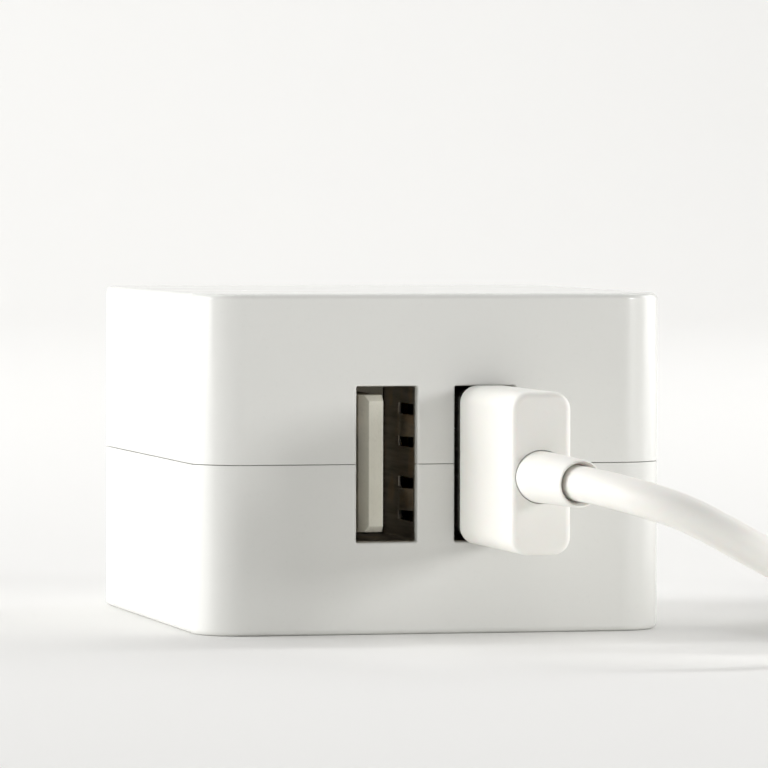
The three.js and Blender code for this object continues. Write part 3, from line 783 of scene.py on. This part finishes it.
def coil_points(diameter, turns):
    """The cable's middle round the coil: inwards in the lower layer, and outwards on top of it."""
    outer = COIL_OUTSIDE - diameter / 2
    floor = diameter / 2 + REST_HEIGHT
    per_turn = 24
    count = round(turns * per_turn)
    half = turns / 2
    climb = 0.35  # share of a turn in which the cable climbs onto the lower layer
    dip = 0.9  # how far it swings inwards as it climbs
    hump, hump_half = 0.55, 0.3  # rise over the strap, and half its width in radians
    points = []
    for i in range(count + 1):
        turn = turns * i / count
        angle = ENTRY_ANGLE + 2 * math.pi * turn
        radius = outer - COIL_PITCH * (half - abs(turn - half))
        rise = min(max((turn - half) / climb, 0), 1)
        radius -= dip * math.sin(math.pi * rise)
        level_up = diameter * rise * rise * (3 - 2 * rise)
        from_tie = math.remainder(angle - TIE_TURN, 2 * math.pi)
        over_strap = hump * math.exp(-((from_tie / hump_half) ** 2))
        x = COIL_MIDDLE.x + radius * math.cos(angle)
        y = COIL_MIDDLE.y + radius * math.sin(angle)
        points.append(Vector((x, y, floor + level_up + over_strap)))
    return points


def tail_place(along, z):
    """A point along the straight line on which the cable leaves the coil."""
    x = COIL_MIDDLE.x + OUTER_TURN * math.cos(TAIL_TURN) - along * math.sin(TAIL_TURN)
    y = COIL_MIDDLE.y + OUTER_TURN * math.sin(TAIL_TURN) + along * math.cos(TAIL_TURN)
    return Vector((x, y, z))


def line_length(points):
    return sum((b - a).length for a, b in zip(points, points[1:]))


class CHARGER_OT_cable(bpy.types.Operator):
    """The cable from the plug's strain relief to its coil, and the strap round the coil"""

    bl_idname = "charger.cable"
    bl_label = "Cable and Strap"

    def execute(self, context):
        settings = context.scene.charger_cable
        diameter = settings.diameter / MM
        route = [Vector(p) / MM for p in CABLE_ROUTE]
        *_, before, end = [Vector(p) / MM for p in RELIEF_ROUTE]
        inside = end - (route[0] - before).normalized()
        coil = coil_points(diameter, settings.turns)
        lead = [route[-1].lerp(coil[0], share) for share in (0.3, 0.62, 0.88)]
        top = coil[-1].z
        # The tail comes down from the upper layer to the connector's middle height.
        tail = [tail_place(4, top - 0.1), tail_place(8, top - 0.28), tail_place(11, 3.75)]
        tail += [tail_place(TAIL_LONG - 0.8, 3.55), tail_place(TAIL_LONG + 0.8, 3.47)]
        self.jacket([inside, *route, *lead, *coil, *tail], diameter)
        self.strap(settings)
        return {"FINISHED"}

    def jacket(self, points, diameter):
        curve = bpy.data.curves.new("usb_cable", "CURVE")
        curve.dimensions = "3D"
        curve.resolution_u = 5
        curve.render_resolution_u = 5
        curve.bevel_depth = diameter / 2 * MM
        curve.bevel_resolution = 6
        curve.use_fill_caps = True
        spline = curve.splines.new("BEZIER")
        spline.bezier_points.add(len(points) - 1)
        for knot, place in zip(spline.bezier_points, points):
            knot.co = place * MM
            knot.handle_left_type = knot.handle_right_type = "AUTO"
        curve.materials.append(finish("jacket"))
        cable = in_scene("usb_cable", curve)
        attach(cable, "usb_plug")
        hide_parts("cable", "cable_coil", "cable_tail")

    def strap(self, settings):
        """A woven band round the turns, with its free end lapped over on top."""
        low, high = 0.02, extent("coil_tie")[1].z - 0.45
        inner = OUTER_TURN - COIL_PITCH * settings.turns / 2
        near, far = inner - 1.75, COIL_OUTSIDE + 0.3
        thick, wide = 0.5, 5.0
        long, tall = far - near, high - low
        corner = 1.4

        def hoop(grow, width):
            size = (long + 2 * grow, tall + 2 * grow, corner + grow)
            return stack([(-width / 2, *size), (width / 2, *size)], 6)

        band = lay_along_y(carve(hoop(thick / 2, wide), [hoop(-thick / 2, 2 * wide)]))
        side = wide / 2 - 0.1
        flap = block(-6.2, long / 2 - 1.2, -side, side, 0, thick * 0.9)
        round_edges(flap, 1.2, 4, lambda a, b: upright(a, b) and a.x < 0)
        moved(flap, (0, 0, tall / 2 + thick / 2 + 0.02))
        place = Matrix.Translation(COIL_MIDDLE.xy.to_3d()) @ Matrix.Rotation(TIE_TURN, 4, "Z")
        place = place @ Matrix.Translation(((near + far) / 2, 0, (low + high) / 2 + thick / 2))
        publish("coil_strap", placed(band, place), "strap", "usb_plug", ["coil_tie"], edge=0.12)
        publish("coil_strap_end", placed(flap, place), "strap", "usb_plug", edge=0.12)


# ------------------------------------------------------------------ housing


def blade_slots(lead_in):
    """Cutters for the barrel's window, the blade slots and the finger scoops, all in the back."""
    barrel = BARREL_RADIUS + PLAY
    slot_tall = BLADE_THICK + 2 * PLAY
    window_tall = BLADE_Z[1] - BLADE_Z[0] + 2 * (BARREL_END + PLAY)
    cutters = [mouth(PIVOT.x, MID, 2 * barrel, window_tall, 0.3, BACK, 7.5, lead_in, 1)]
    slot_end = BLADE_TIP + 0.6
    long = slot_end - PIVOT.x
    deep = BACK - (PIVOT_Y - BLADE_HALF - PLAY)
    scoop_wide, scoop_tall, scoop_deep = 4.2, 3.8, 1.5
    for z in BLADE_Z:
        cutters.append(mouth(PIVOT.x + long / 2, z, long, slot_tall, 0.35, BACK, deep, lead_in, 1))
        x = slot_end - scoop_wide / 2
        cutters.append(mouth(x, z, scoop_wide, scoop_tall, 1.1, BACK, scoop_deep, lead_in, 1))
    return cutters


def port_cutters(ports, lead_in):
    """Cutters for the two port openings and the seats of their metal shells."""
    cutters = []
    wide, tall = ports.wide / MM, ports.tall / MM
    seat_side, seat_end = 3.15, 6.85
    for x in PORT_X.values():
        cutters.append(mouth(x, MID, wide, tall, 0.12, FRONT, 3.2, lead_in, -1))
        seat = (x - seat_side, x + seat_side, FRONT + 1, FRONT + 3)
        cutters.append(block(*seat, MID - seat_end, MID + seat_end))
    return cutters


def half_shell(housing, ports, upper):
    """One moulded half of the housing, hollow, with its lip or rebate, openings, bosses and posts."""
    corner, rim, wall = housing.corner / MM, housing.rim / MM, housing.wall / MM
    seam, lead_in = housing.seam / MM, housing.lead_in / MM
    edge = 0.06  # rounding where the halves meet
    outside, inside = (HEIGHT, MID + seam / 2) if upper else (0, MID - seam / 2)
    shell = slab(WIDTH, DEPTH, corner, min(outside, inside), max(outside, inside), 16)
    round_edges(shell, rim, 5, level(2, outside))
    round_edges(shell, edge, 2, level(2, inside))

    lip_thick, lip_tall, lip_corner, fit = 0.8, 1.2, 2.6, 0.3
    lip_wide = WIDTH - 2 * wall + 2 * lip_thick
    lip_deep = DEPTH - 2 * wall + 2 * lip_thick
    cavity_low, cavity_high = (MID - 2, HEIGHT - wall) if upper else (wall, MID + 2)
    cavity = slab(WIDTH - 2 * wall, DEPTH - 2 * wall, corner - wall, cavity_low, cavity_high, 8)
    if upper:
        top = MID + lip_tall + 0.2
        rebate = slab(lip_wide + fit, lip_deep + fit, lip_corner + 0.1, MID - 2, top, 8)
        shell = carve(shell, [rebate, cavity])
    else:
        lip = slab(lip_wide, lip_deep, lip_corner, MID - 1, MID + lip_tall, 8)
        round_edges(lip, 0.25, 2, level(2, MID + lip_tall))
        shell = carve(join(shell, [lip]), [cavity])

    away, z = (1, BLADE_Z[1]) if upper else (-1, BLADE_Z[0])
    buried = 0.2  # how far bosses and posts start inside the wall that they stand on
    boss_root = HEIGHT - wall + buried if upper else wall - buried
    boss = rod(2.7, *sorted((z + away * 2.6, boss_root)), (PIVOT.x, PIVOT_Y - 0.6, 0))
    additions = [blade_pocket(z), boss]
    if not upper:
        additions += board_posts(wall - buried)
    bore = rod(1.4, *sorted((z, z + away * 4.1)), (PIVOT.x, PIVOT_Y, 0), 24)
    cutters = [*port_cutters(ports, lead_in), *blade_slots(lead_in), bore]
    return carve(join(shell, additions), cutters)


def blade_pocket(z):
    """The solid round a blade's slot, inside the back wall."""
    half = BLADE_THICK / 2 + PLAY + 1
    front = PIVOT_Y - BLADE_HALF - PLAY - 1
    return block(PIVOT.x + 3.9, BLADE_TIP + 1.6, front, BACK - 1, z - half, z + half)


def board_posts(foot):
    """The four posts under the circuit board, with a bevel round their tops."""
    radius, bevel = 1.4, 0.2
    top = extent("circuit_board")[0].z - 0.3
    post = [(0, foot), (radius, foot), (radius, top - bevel), (radius - bevel, top), (0, top)]
    return [turned(post, (x, y, 0), 20) for x in (-14, 14) for y in (-15.5, 10)]


class CHARGER_OT_housing(bpy.types.Operator):
    """The two glossy halves of the housing"""

    bl_idname = "charger.housing"
    bl_label = "Housing"

    def execute(self, context):
        scene = context.scene
        for upper, name in ((False, "lower"), (True, "upper")):
            shell = half_shell(scene.charger_housing, scene.charger_ports, upper)
            publish(f"{name}_housing", shell, "housing", "charger", [f"{name}_shell"])
        return {"FINISHED"}


# ------------------------------------------------------------------ USB receptacles

FINGER_Z = (MID - 3, MID + 3)
FINGER_TALL = 1.8
WINDOW_HALF = 1.78  # half the height of the windows that the fingers stand in
WINDOW_ENDS = (0.5, 5.7)  # behind the receptacle's front edge
FINGER_BOW = {"left": 0.5, "right": 0.26}  # a plug presses the right port's fingers back


def spring_finger(x, side, z, sheet, bow):
    """A leaf cut from the wide wall, bowed into the port and turned out again at its tip."""
    inside = RECEPTACLE_WIDE / 2 - sheet
    root, tip = FRONT + 7.1, FRONT + 1.85
    line = []
    steps = 14
    crest = 0.62  # share of the leaf from its root to its innermost point
    for i in range(steps + 1):
        along = i / steps
        if along < crest:
            inwards = bow * math.sin(math.pi / 2 * along / crest) ** 2
        else:
            inwards = bow * math.cos(math.pi / 2 * 1.25 * (along - crest) / (1 - crest))
        line.append((x + side * (inside - inwards), root + (tip - root) * along))
    outer = [(px + side * sheet, py) for px, py in reversed(line)]
    return drawn(line + outer, FINGER_TALL, z - FINGER_TALL / 2)


class CHARGER_OT_ports(bpy.types.Operator):
    """Both receptacles: stamped shells with windows and spring fingers, and moulded tongues"""

    bl_idname = "charger.ports"
    bl_label = "USB Receptacles"

    def execute(self, context):
        sheet = context.scene.charger_ports.sheet / MM
        for label in PORT_X:
            can, tongue = f"{label}_receptacle_shell", f"{label}_receptacle_tongue"
            shell = self.shell(label, can, sheet)
            publish(f"{label}_port_shell", shell, "steel", "charger", [can], edge=0.04)
            insulator = self.insulator(label, tongue)
            publish(f"{label}_port_tongue", insulator, "tongue", "charger", [tongue], edge=0.05)
        return {"FINISHED"}

    def shell(self, label, node, sheet):
        """The stamped can, with two windows and their spring fingers in each wide wall."""
        x = PORT_X[label]
        low, high = extent(node)
        wide, tall = RECEPTACLE_WIDE, high.z - low.z
        outer = stack([(y, wide, tall, 0.45) for y in (low.y, high.y)], 4)
        inner = (wide - 2 * sheet, tall - 2 * sheet, 0.2)
        bore = stack([(low.y - 1, *inner), (high.y + 1, *inner)], 3)
        can = carve(lay_along_y(outer, x, MID), [lay_along_y(bore, x, MID)])
        ends = [low.y + end for end in WINDOW_ENDS]
        windows, fingers = [], []
        for side in (-1, 1):
            wall = x + side * (wide / 2 - sheet / 2)
            for z in FINGER_Z:
                window = (wall - sheet, wall + sheet, *ends, z - WINDOW_HALF, z + WINDOW_HALF)
                windows.append(block(*window))
                fingers.append(spring_finger(x, side, z, sheet, FINGER_BOW[label]))
        return join(carve(can, windows), fingers)

    def insulator(self, label, node):
        """The moulding: a block at the back and the tongue, with chamfers round its front end."""
        low, high = extent(node)
        left, right = PORT_X[label] - 1.88, extent(f"{label}_contact_vbus")[1].x
        tall, root = 11.1, high.y - 3
        ends = (MID - tall / 2, MID + tall / 2)
        slant = (0.66, 1.1)  # chamfer along the tongue's front edge, away from the contacts
        outline = [(left, root + 0.5), (left, low.y + slant[1]), (left + slant[0], low.y)]
        outline += [(right, low.y), (right, root + 0.5)]
        tongue = drawn(outline, tall, ends[0])
        for end in ends:
            round_edges(tongue, 0.5, 1, lambda a, b: level(1, low.y)(a, b) and level(2, end)(a, b))
        body = join(block(low.x, high.x, root, high.y, low.z, high.z), [tongue])
        half, thick, play = 0.5, 0.25, 0.1  # a contact's half width and thickness, and the room round it
        grooves = []
        for line in CONTACTS:
            near, far = extent(f"{label}_contact_{line}")
            z = far.z - half
            groove = (right - thick - play, right + 1, near.y - play, high.y + 1)
            grooves.append(block(*groove, z - half - play, z + half + play))
        return carve(body, grooves)


# ------------------------------------------------------------------ what stays as CAD nodes

# Finish and edge rounding, in millimetres, of every CAD node that keeps its shape.
KEPT_NODES = {
    "board": (0.08, "circuit_board"),
    "ferrite": (0.25, "transformer_core_left", "transformer_core_right", "input_choke"),
    "tape": (0.5, "transformer_winding"),
    "sleeve": (0.18, "input_capacitor_front", "input_capacitor_rear"),
    "green_sleeve": (0.18, "output_capacitor_left", "output_capacitor_right"),
    "resistor": (0.35, "fuse_resistor"),
    "ceramic": (0.9, "safety_capacitor"),
    "black": (
        0.12,
        "transformer_bobbin",
        "optocoupler",
        "output_rectifier",
        "bridge_rectifier",
        "power_controller",
        "port_controller",
    ),
    "bronze": (0.05, "contact_spring_line", "contact_spring_neutral"),
    "steel": (0.05, "detent_spring"),
    "jacket": (0.06, "plug_insulator"),
    "gold": (
        0.04,
        *(f"{place}_contact_{line}" for place in ("left", "right", "plug") for line in CONTACTS),
    ),
}


class CHARGER_OT_electronics(bpy.types.Operator):
    """Finishes and edges for the board, its parts, the contacts and the springs"""

    bl_idname = "charger.electronics"
    bl_label = "Electronics and Contacts"

    def execute(self, context):
        for look, (edge, *names) in KEPT_NODES.items():
            for name in names:
                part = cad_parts[name]
                for slot in part.material_slots:
                    slot.material = finish(look)
                weld = part.modifiers.new("weld", "WELD")
                weld.merge_threshold = 0.001 * MM
                soften(part, edge)
        return {"FINISHED"}


# ------------------------------------------------------------------ folding prongs


def prong_barrel():
    """The moulded barrel with its trunnions, blade seats and the two flats for the detent."""
    x, y = PIVOT.x, PIVOT_Y
    low, high = BLADE_Z[0] - BARREL_END, BLADE_Z[1] + BARREL_END
    trunnion, long, bevel = 1.3, 1.6, 0.15
    round_off = 0.3
    profile = [
        (0, low - long),
        (trunnion - bevel, low - long),
        (trunnion, low - long + bevel),
        (trunnion, low),
        (BARREL_RADIUS - round_off, low),
        (BARREL_RADIUS - round_off * 0.3, low + round_off * 0.3),
        (BARREL_RADIUS, low + round_off),
    ]
    mirrored = [(r, low + high - z) for r, z in reversed(profile)]
    barrel = turned(profile + mirrored, (x, y, 0), 64)
    seat = BLADE_THICK / 2 + 0.02
    past = 6  # well outside the barrel
    cuts = [block(x - 5, x + 5, y - 1.6, y + 1.6, z - seat, z + seat) for z in BLADE_Z]
    flat, flat_end = BARREL_RADIUS - 0.35, 4.5
    cuts.append(block(x - 5, x + 5, y - past, y - flat, MID - flat_end, MID + flat_end))
    cuts.append(block(x - past, x - flat, y - 5, y + 5, MID - flat_end, MID + flat_end))
    return carve(barrel, cuts)


def prong_blade(z):
    """A flat blade with a tapered nose, a round hole and a narrow tang."""
    x, y, half, nose, tang = PIVOT.x, PIVOT_Y, BLADE_HALF, 1.3, 1.5
    root = x + BARREL_RADIUS + 0.05
    side = [
        (x - 3.9, tang - 0.5),
        (x - 3.4, tang),
        (root, tang),
        (root, half),
        (BLADE_TIP - nose, half),
        (BLADE_TIP, half - nose),
    ]
    outline = [(px, y + py) for px, py in side] + [(px, y - py) for px, py in reversed(side)]
    face = BLADE_THICK / 2
    plate = drawn(outline, BLADE_THICK, z - face)
    bore, flare = 1.6, 0.2
    hole = [(0, -2), (bore + flare, -2), (bore + flare, -face), (bore, -face + flare)]
    hole += [(r, -h) for r, h in reversed(hole)]
    return carve(plate, [turned(hole, (x + 15, y, z), 40)])


class CHARGER_OT_prongs(bpy.types.Operator):
    """The folding prongs: barrel and blades"""

    bl_idname = "charger.prongs"
    bl_label = "Folding Prongs"

    def execute(self, context):
        edge = context.scene.charger_prongs.edge / MM
        publish("prong_barrel", prong_barrel(), "housing", "prongs", ["prong_carrier"], edge=0.1)
        for pole, z in zip(POLES, BLADE_Z):
            nodes = [f"prong_blade_{pole}"]
            publish(f"{pole}_blade", prong_blade(z), "nickel", "prongs", nodes, edge, segments=3)
        return {"FINISHED"}


# ------------------------------------------------------------------ USB plug


def plug_can():
    """The plug's folded metal shell, with its latch windows and the seam along one side."""
    x = PORT_X["right"]
    high = extent("plug_shell")[1]
    wide, tall, sheet, corner = 4.5, 12, 0.3, 0.9
    hidden = extent("plug_grip")[1].y - 0.7  # the sheet ends in the grip's seat
    outer = stack([(hidden, wide, tall, corner), (high.y, wide, tall, corner)], 6)
    inside = (wide - 2 * sheet, tall - 2 * sheet, corner - sheet)
    bore = stack([(hidden - 1, *inside), (high.y + 1, *inside)], 6)
    can = carve(lay_along_y(outer, x, MID), [lay_along_y(bore, x, MID)])
    ends = (high.y - 7.6, high.y - 5.2)
    half = 1.1
    cuts = []
    for side in (-1, 1):
        wall = x + side * (wide / 2 - sheet / 2)
        for z in (MID - 2.9, MID + 2.9):
            cuts.append(block(wall - sheet, wall + sheet, *ends, z - half, z + half))
    seam = 0.06
    cuts.append(block(x + 1, x + 3, hidden - 1, high.y + 1, MID - seam / 2, MID + seam / 2))
    return carve(can, cuts)


def plug_grip(corner):
    """The moulded grip: long round edges, a softly rounded end and a step round the strain relief."""
    low, high = extent("plug_grip")
    centre = (low + high) / 2
    outline = (high.x - low.x, high.z - low.z, corner)
    cable_end = rounded_end(low.y, 1, 0.55, outline)
    port_end = rounded_end(high.y, -1, 0.05, outline)
    grip = lay_along_y(stack(cable_end + port_end[::-1], 10), centre.x, centre.z)
    seat = stack([(y, 4.58, 12.08, 0.94) for y in (high.y - 0.75, high.y + 1)], 6)
    base = Vector(RELIEF_ROUTE[0]) / MM
    groove = turned([(0, -1), (2.12, -1), (2.12, 0), (2.07, 0.4), (0, 0.4)], steps=48)
    placed(groove, turned_to_y((base.x, low.y, base.z)))
    return carve(grip, [lay_along_y(seat, PORT_X["right"], MID), groove])


def strain_relief():
    """A tapered sleeve that bends with the cable and ends in a round lip with a recess."""
    knots = [Vector(p) / MM for p in RELIEF_ROUTE]
    first = Vector((knots[0].x, extent("plug_grip")[0].y + 0.5, knots[0].z))
    knots = [first] + knots
    line = []
    for i in range(len(knots) - 1):
        before = knots[max(i - 1, 0)]
        after = knots[min(i + 2, len(knots) - 1)]
        for step in range(5):
            t = step / 5
            a, b = knots[i], knots[i + 1]
            slope_a, slope_b = (b - before) / 2, (after - a) / 2
            line.append(
                a * (2 * t**3 - 3 * t**2 + 1)
                + slope_a * (t**3 - 2 * t**2 + t)
                + b * (3 * t**2 - 2 * t**3)
                + slope_b * (t**3 - t**2)
            )
    line.append(knots[-1])
    total = line_length(line)
    ways = [(b - a).normalized() for a, b in zip(line, line[1:])]
    ways.append(ways[-1])
    wide, narrow = 2.06, 1.88
    stations = []
    gone = 0.0
    for i, point in enumerate(line):
        if i:
            gone += (point - line[i - 1]).length
        stations.append((point, ways[i], wide + (narrow - wide) * gone / total))
    end, way = line[-1], ways[-1]
    lip = 0.3
    stations[-1] = (end - way * lip, way, narrow)
    steps = 4
    for i in range(1, steps + 1):
        turn = math.pi / 2 * i / steps
        back = lip * (1 - math.sin(turn))
        stations.append((end - way * back, way, narrow - lip * 0.55 * (1 - math.cos(turn))))
    sleeve = tube(stations, 48)
    hollow = [(1.3, 1.47), (0.5, 1.5), (0.05, 1.72), (-1, 2.2)]
    recess = tube([(end - way * back, way, radius) for back, radius in hollow], 48)
    return carve(sleeve, [recess])


class CHARGER_OT_plug(bpy.types.Operator):
    """The USB plug: metal shell, grip and strain relief"""

    bl_idname = "charger.plug"
    bl_label = "USB Plug"

    def execute(self, context):
        corner = context.scene.charger_cable.grip_corner / MM
        body = "usb_plug"
        publish("plug_can", plug_can(), "nickel", body, ["plug_shell"], edge=0.05)
        publish("plug_moulding", plug_grip(corner), "jacket", body, ["plug_grip"])
        publish("plug_relief", strain_relief(), "jacket", body, ["plug_strain_relief"], sharp=40)
        return {"FINISHED"}


# ------------------------------------------------------------------ micro connector


class CHARGER_OT_connector(bpy.types.Operator):
    """The small connector on the cable's far end"""

    bl_idname = "charger.connector"
    bl_label = "Small Connector"

    def execute(self, context):
        height = middle("micro_grip").z
        place = Matrix.Translation(tail_place(0, height)) @ Matrix.Rotation(TAIL_TURN, 4, "Z")
        start = TAIL_LONG + 0.3
        grip_at = start + 6.3
        mouth_at = grip_at + 17
        pieces = (
            ("relief", self.relief(start), "jacket", "micro_strain_relief", 0),
            ("grip", self.grip(grip_at, mouth_at), "jacket", "micro_grip", 0),
            ("nose", self.nose(mouth_at), "nickel", "micro_shell", 0.05),
            ("tongue", self.tongue(mouth_at), "black", "micro_tongue", 0.05),
        )
        for name, bm, look, node, edge in pieces:
            publish(f"connector_{name}", placed(bm, place), look, "usb_plug", [node], edge)
        return {"FINISHED"}

    def relief(self, start):
        """A ribbed cone with a recess for the cable."""
        ribs, pitch, groove = 4, 1.25, 0.3
        profile = [(0, 0), (1.6, 0), (1.75, 0.15)]
        for i in range(ribs):
            z = 0.5 + pitch * i
            radius = 1.78 + 0.15 * i
            profile += [(radius, z), (radius - groove, z + 0.2)]
            profile += [(radius - groove, z + 0.55), (radius, z + 0.75)]
        profile += [(2.4, 5.5), (2.4, 6.2), (0, 6.2)]
        cone = carve(turned(profile, steps=40), [rod(1.47, -1, 1)])
        return placed(cone, turned_to_y((0, start, 0)))

    def grip(self, start, end):
        """A waisted grip with three shallow finger grooves on each broad side."""
        wide, tall, corner, fillet = 10.6, 6.8, 2, 0.6
        sections = rounded_end(start, 1, fillet, (wide * 0.8, tall, corner - 0.1))
        for share, side in ((0.25, 0.86), (0.45, 0.94), (0.65, 1.0), (0.85, 1.0)):
            sections.append((start + (end - start) * share, wide * side, tall, corner))
        sections += rounded_end(end, -1, fillet, (wide, tall, corner))[::-1]
        body = lay_along_y(stack(sections, 8))
        cuts = [block(-3.5, 3.5, end - 4, end + 1, -1, 1)]
        crosswise = Matrix.Rotation(math.pi / 2, 4, "Y")
        for i in range(3):
            along = start + 7.5 + 1.8 * i
            for side in (-1, 1):
                at = Matrix.Translation((0, along, side * (tall / 2 + 0.25)))
                cuts.append(placed(rod(0.55, -3, 3, steps=16), at @ crosswise))
        return carve(body, cuts)

    def nose(self, root):
        """The metal nose, narrower along one broad side, with two latch windows."""
        wide, tall, sheet = 6.85, 1.85, 0.25

        def outline(inset):
            w, t = wide / 2 - inset, tall / 2 - inset
            return [(-w, t), (-w, -t + 0.7), (-w + 0.75, -t), (w - 0.75, -t), (w, -t + 0.7), (w, t)]

        seated = 3.9  # how much of the nose is inside the grip
        shell = lay_along_y(carve(drawn(outline(0), 9.9), [drawn(outline(sheet), 13, -1)]))
        moved(shell, (0, root - seated, 0))
        half = 0.45
        latches = [block(x - half, x + half, root + 2.6, root + 4.4, -1.3, -0.5) for x in (-1.9, 1.9)]
        return carve(shell, latches)

    def tongue(self, root):
        """The plate that carries the contacts."""
        return block(-2.2, 2.2, root - 3.5, root + 5.6, 0, 0.45)


# ------------------------------------------------------------------ pieces on the cord


def declare_cord():
    """Lists the names of the pieces that sit on the cable, and does nothing more with them."""
    on_it = ["plug_can", "plug_moulding", "plug_relief", "plug_insulator"]
    on_it += [f"plug_contact_{line}" for line in CONTACTS]
    on_it += ["coil_strap", "coil_strap_end"]
    on_it += ["connector_relief", "connector_grip", "connector_nose", "connector_tongue"]


# ------------------------------------------------------------------ panel and running

OPERATORS = (
    CHARGER_OT_stage,
    CHARGER_OT_cable,
    CHARGER_OT_housing,
    CHARGER_OT_ports,
    CHARGER_OT_electronics,
    CHARGER_OT_prongs,
    CHARGER_OT_plug,
    CHARGER_OT_connector,
)


class CHARGER_PT_panel(bpy.types.Panel):
    """Lists the settings and the steps that build the charger"""

    bl_idname = "CHARGER_PT_panel"
    bl_label = "USB Wall Charger"
    bl_space_type = "VIEW_3D"
    bl_region_type = "UI"
    bl_category = "Charger"

    def draw(self, context):
        for name in SETTINGS:
            box = self.layout.box()
            settings = getattr(context.scene, name)
            for field in settings.__annotations__:
                box.prop(settings, field)
        for operator in OPERATORS:
            self.layout.operator(operator.bl_idname)


def register():
    for name, group in SETTINGS.items():
        bpy.utils.register_class(group)
        setattr(bpy.types.Scene, name, PointerProperty(type=group))
    for operator in OPERATORS:
        bpy.utils.register_class(operator)
    bpy.utils.register_class(CHARGER_PT_panel)


def unregister():
    bpy.utils.unregister_class(CHARGER_PT_panel)
    for operator in reversed(OPERATORS):
        bpy.utils.unregister_class(operator)
    for name, group in SETTINGS.items():
        delattr(bpy.types.Scene, name)
        bpy.utils.unregister_class(group)


def main():
    register()
    for operator in OPERATORS:
        group, call = operator.bl_idname.split(".")
        getattr(getattr(bpy.ops, group), call)()
    declare_cord()


if __name__ == "__main__":
    main()
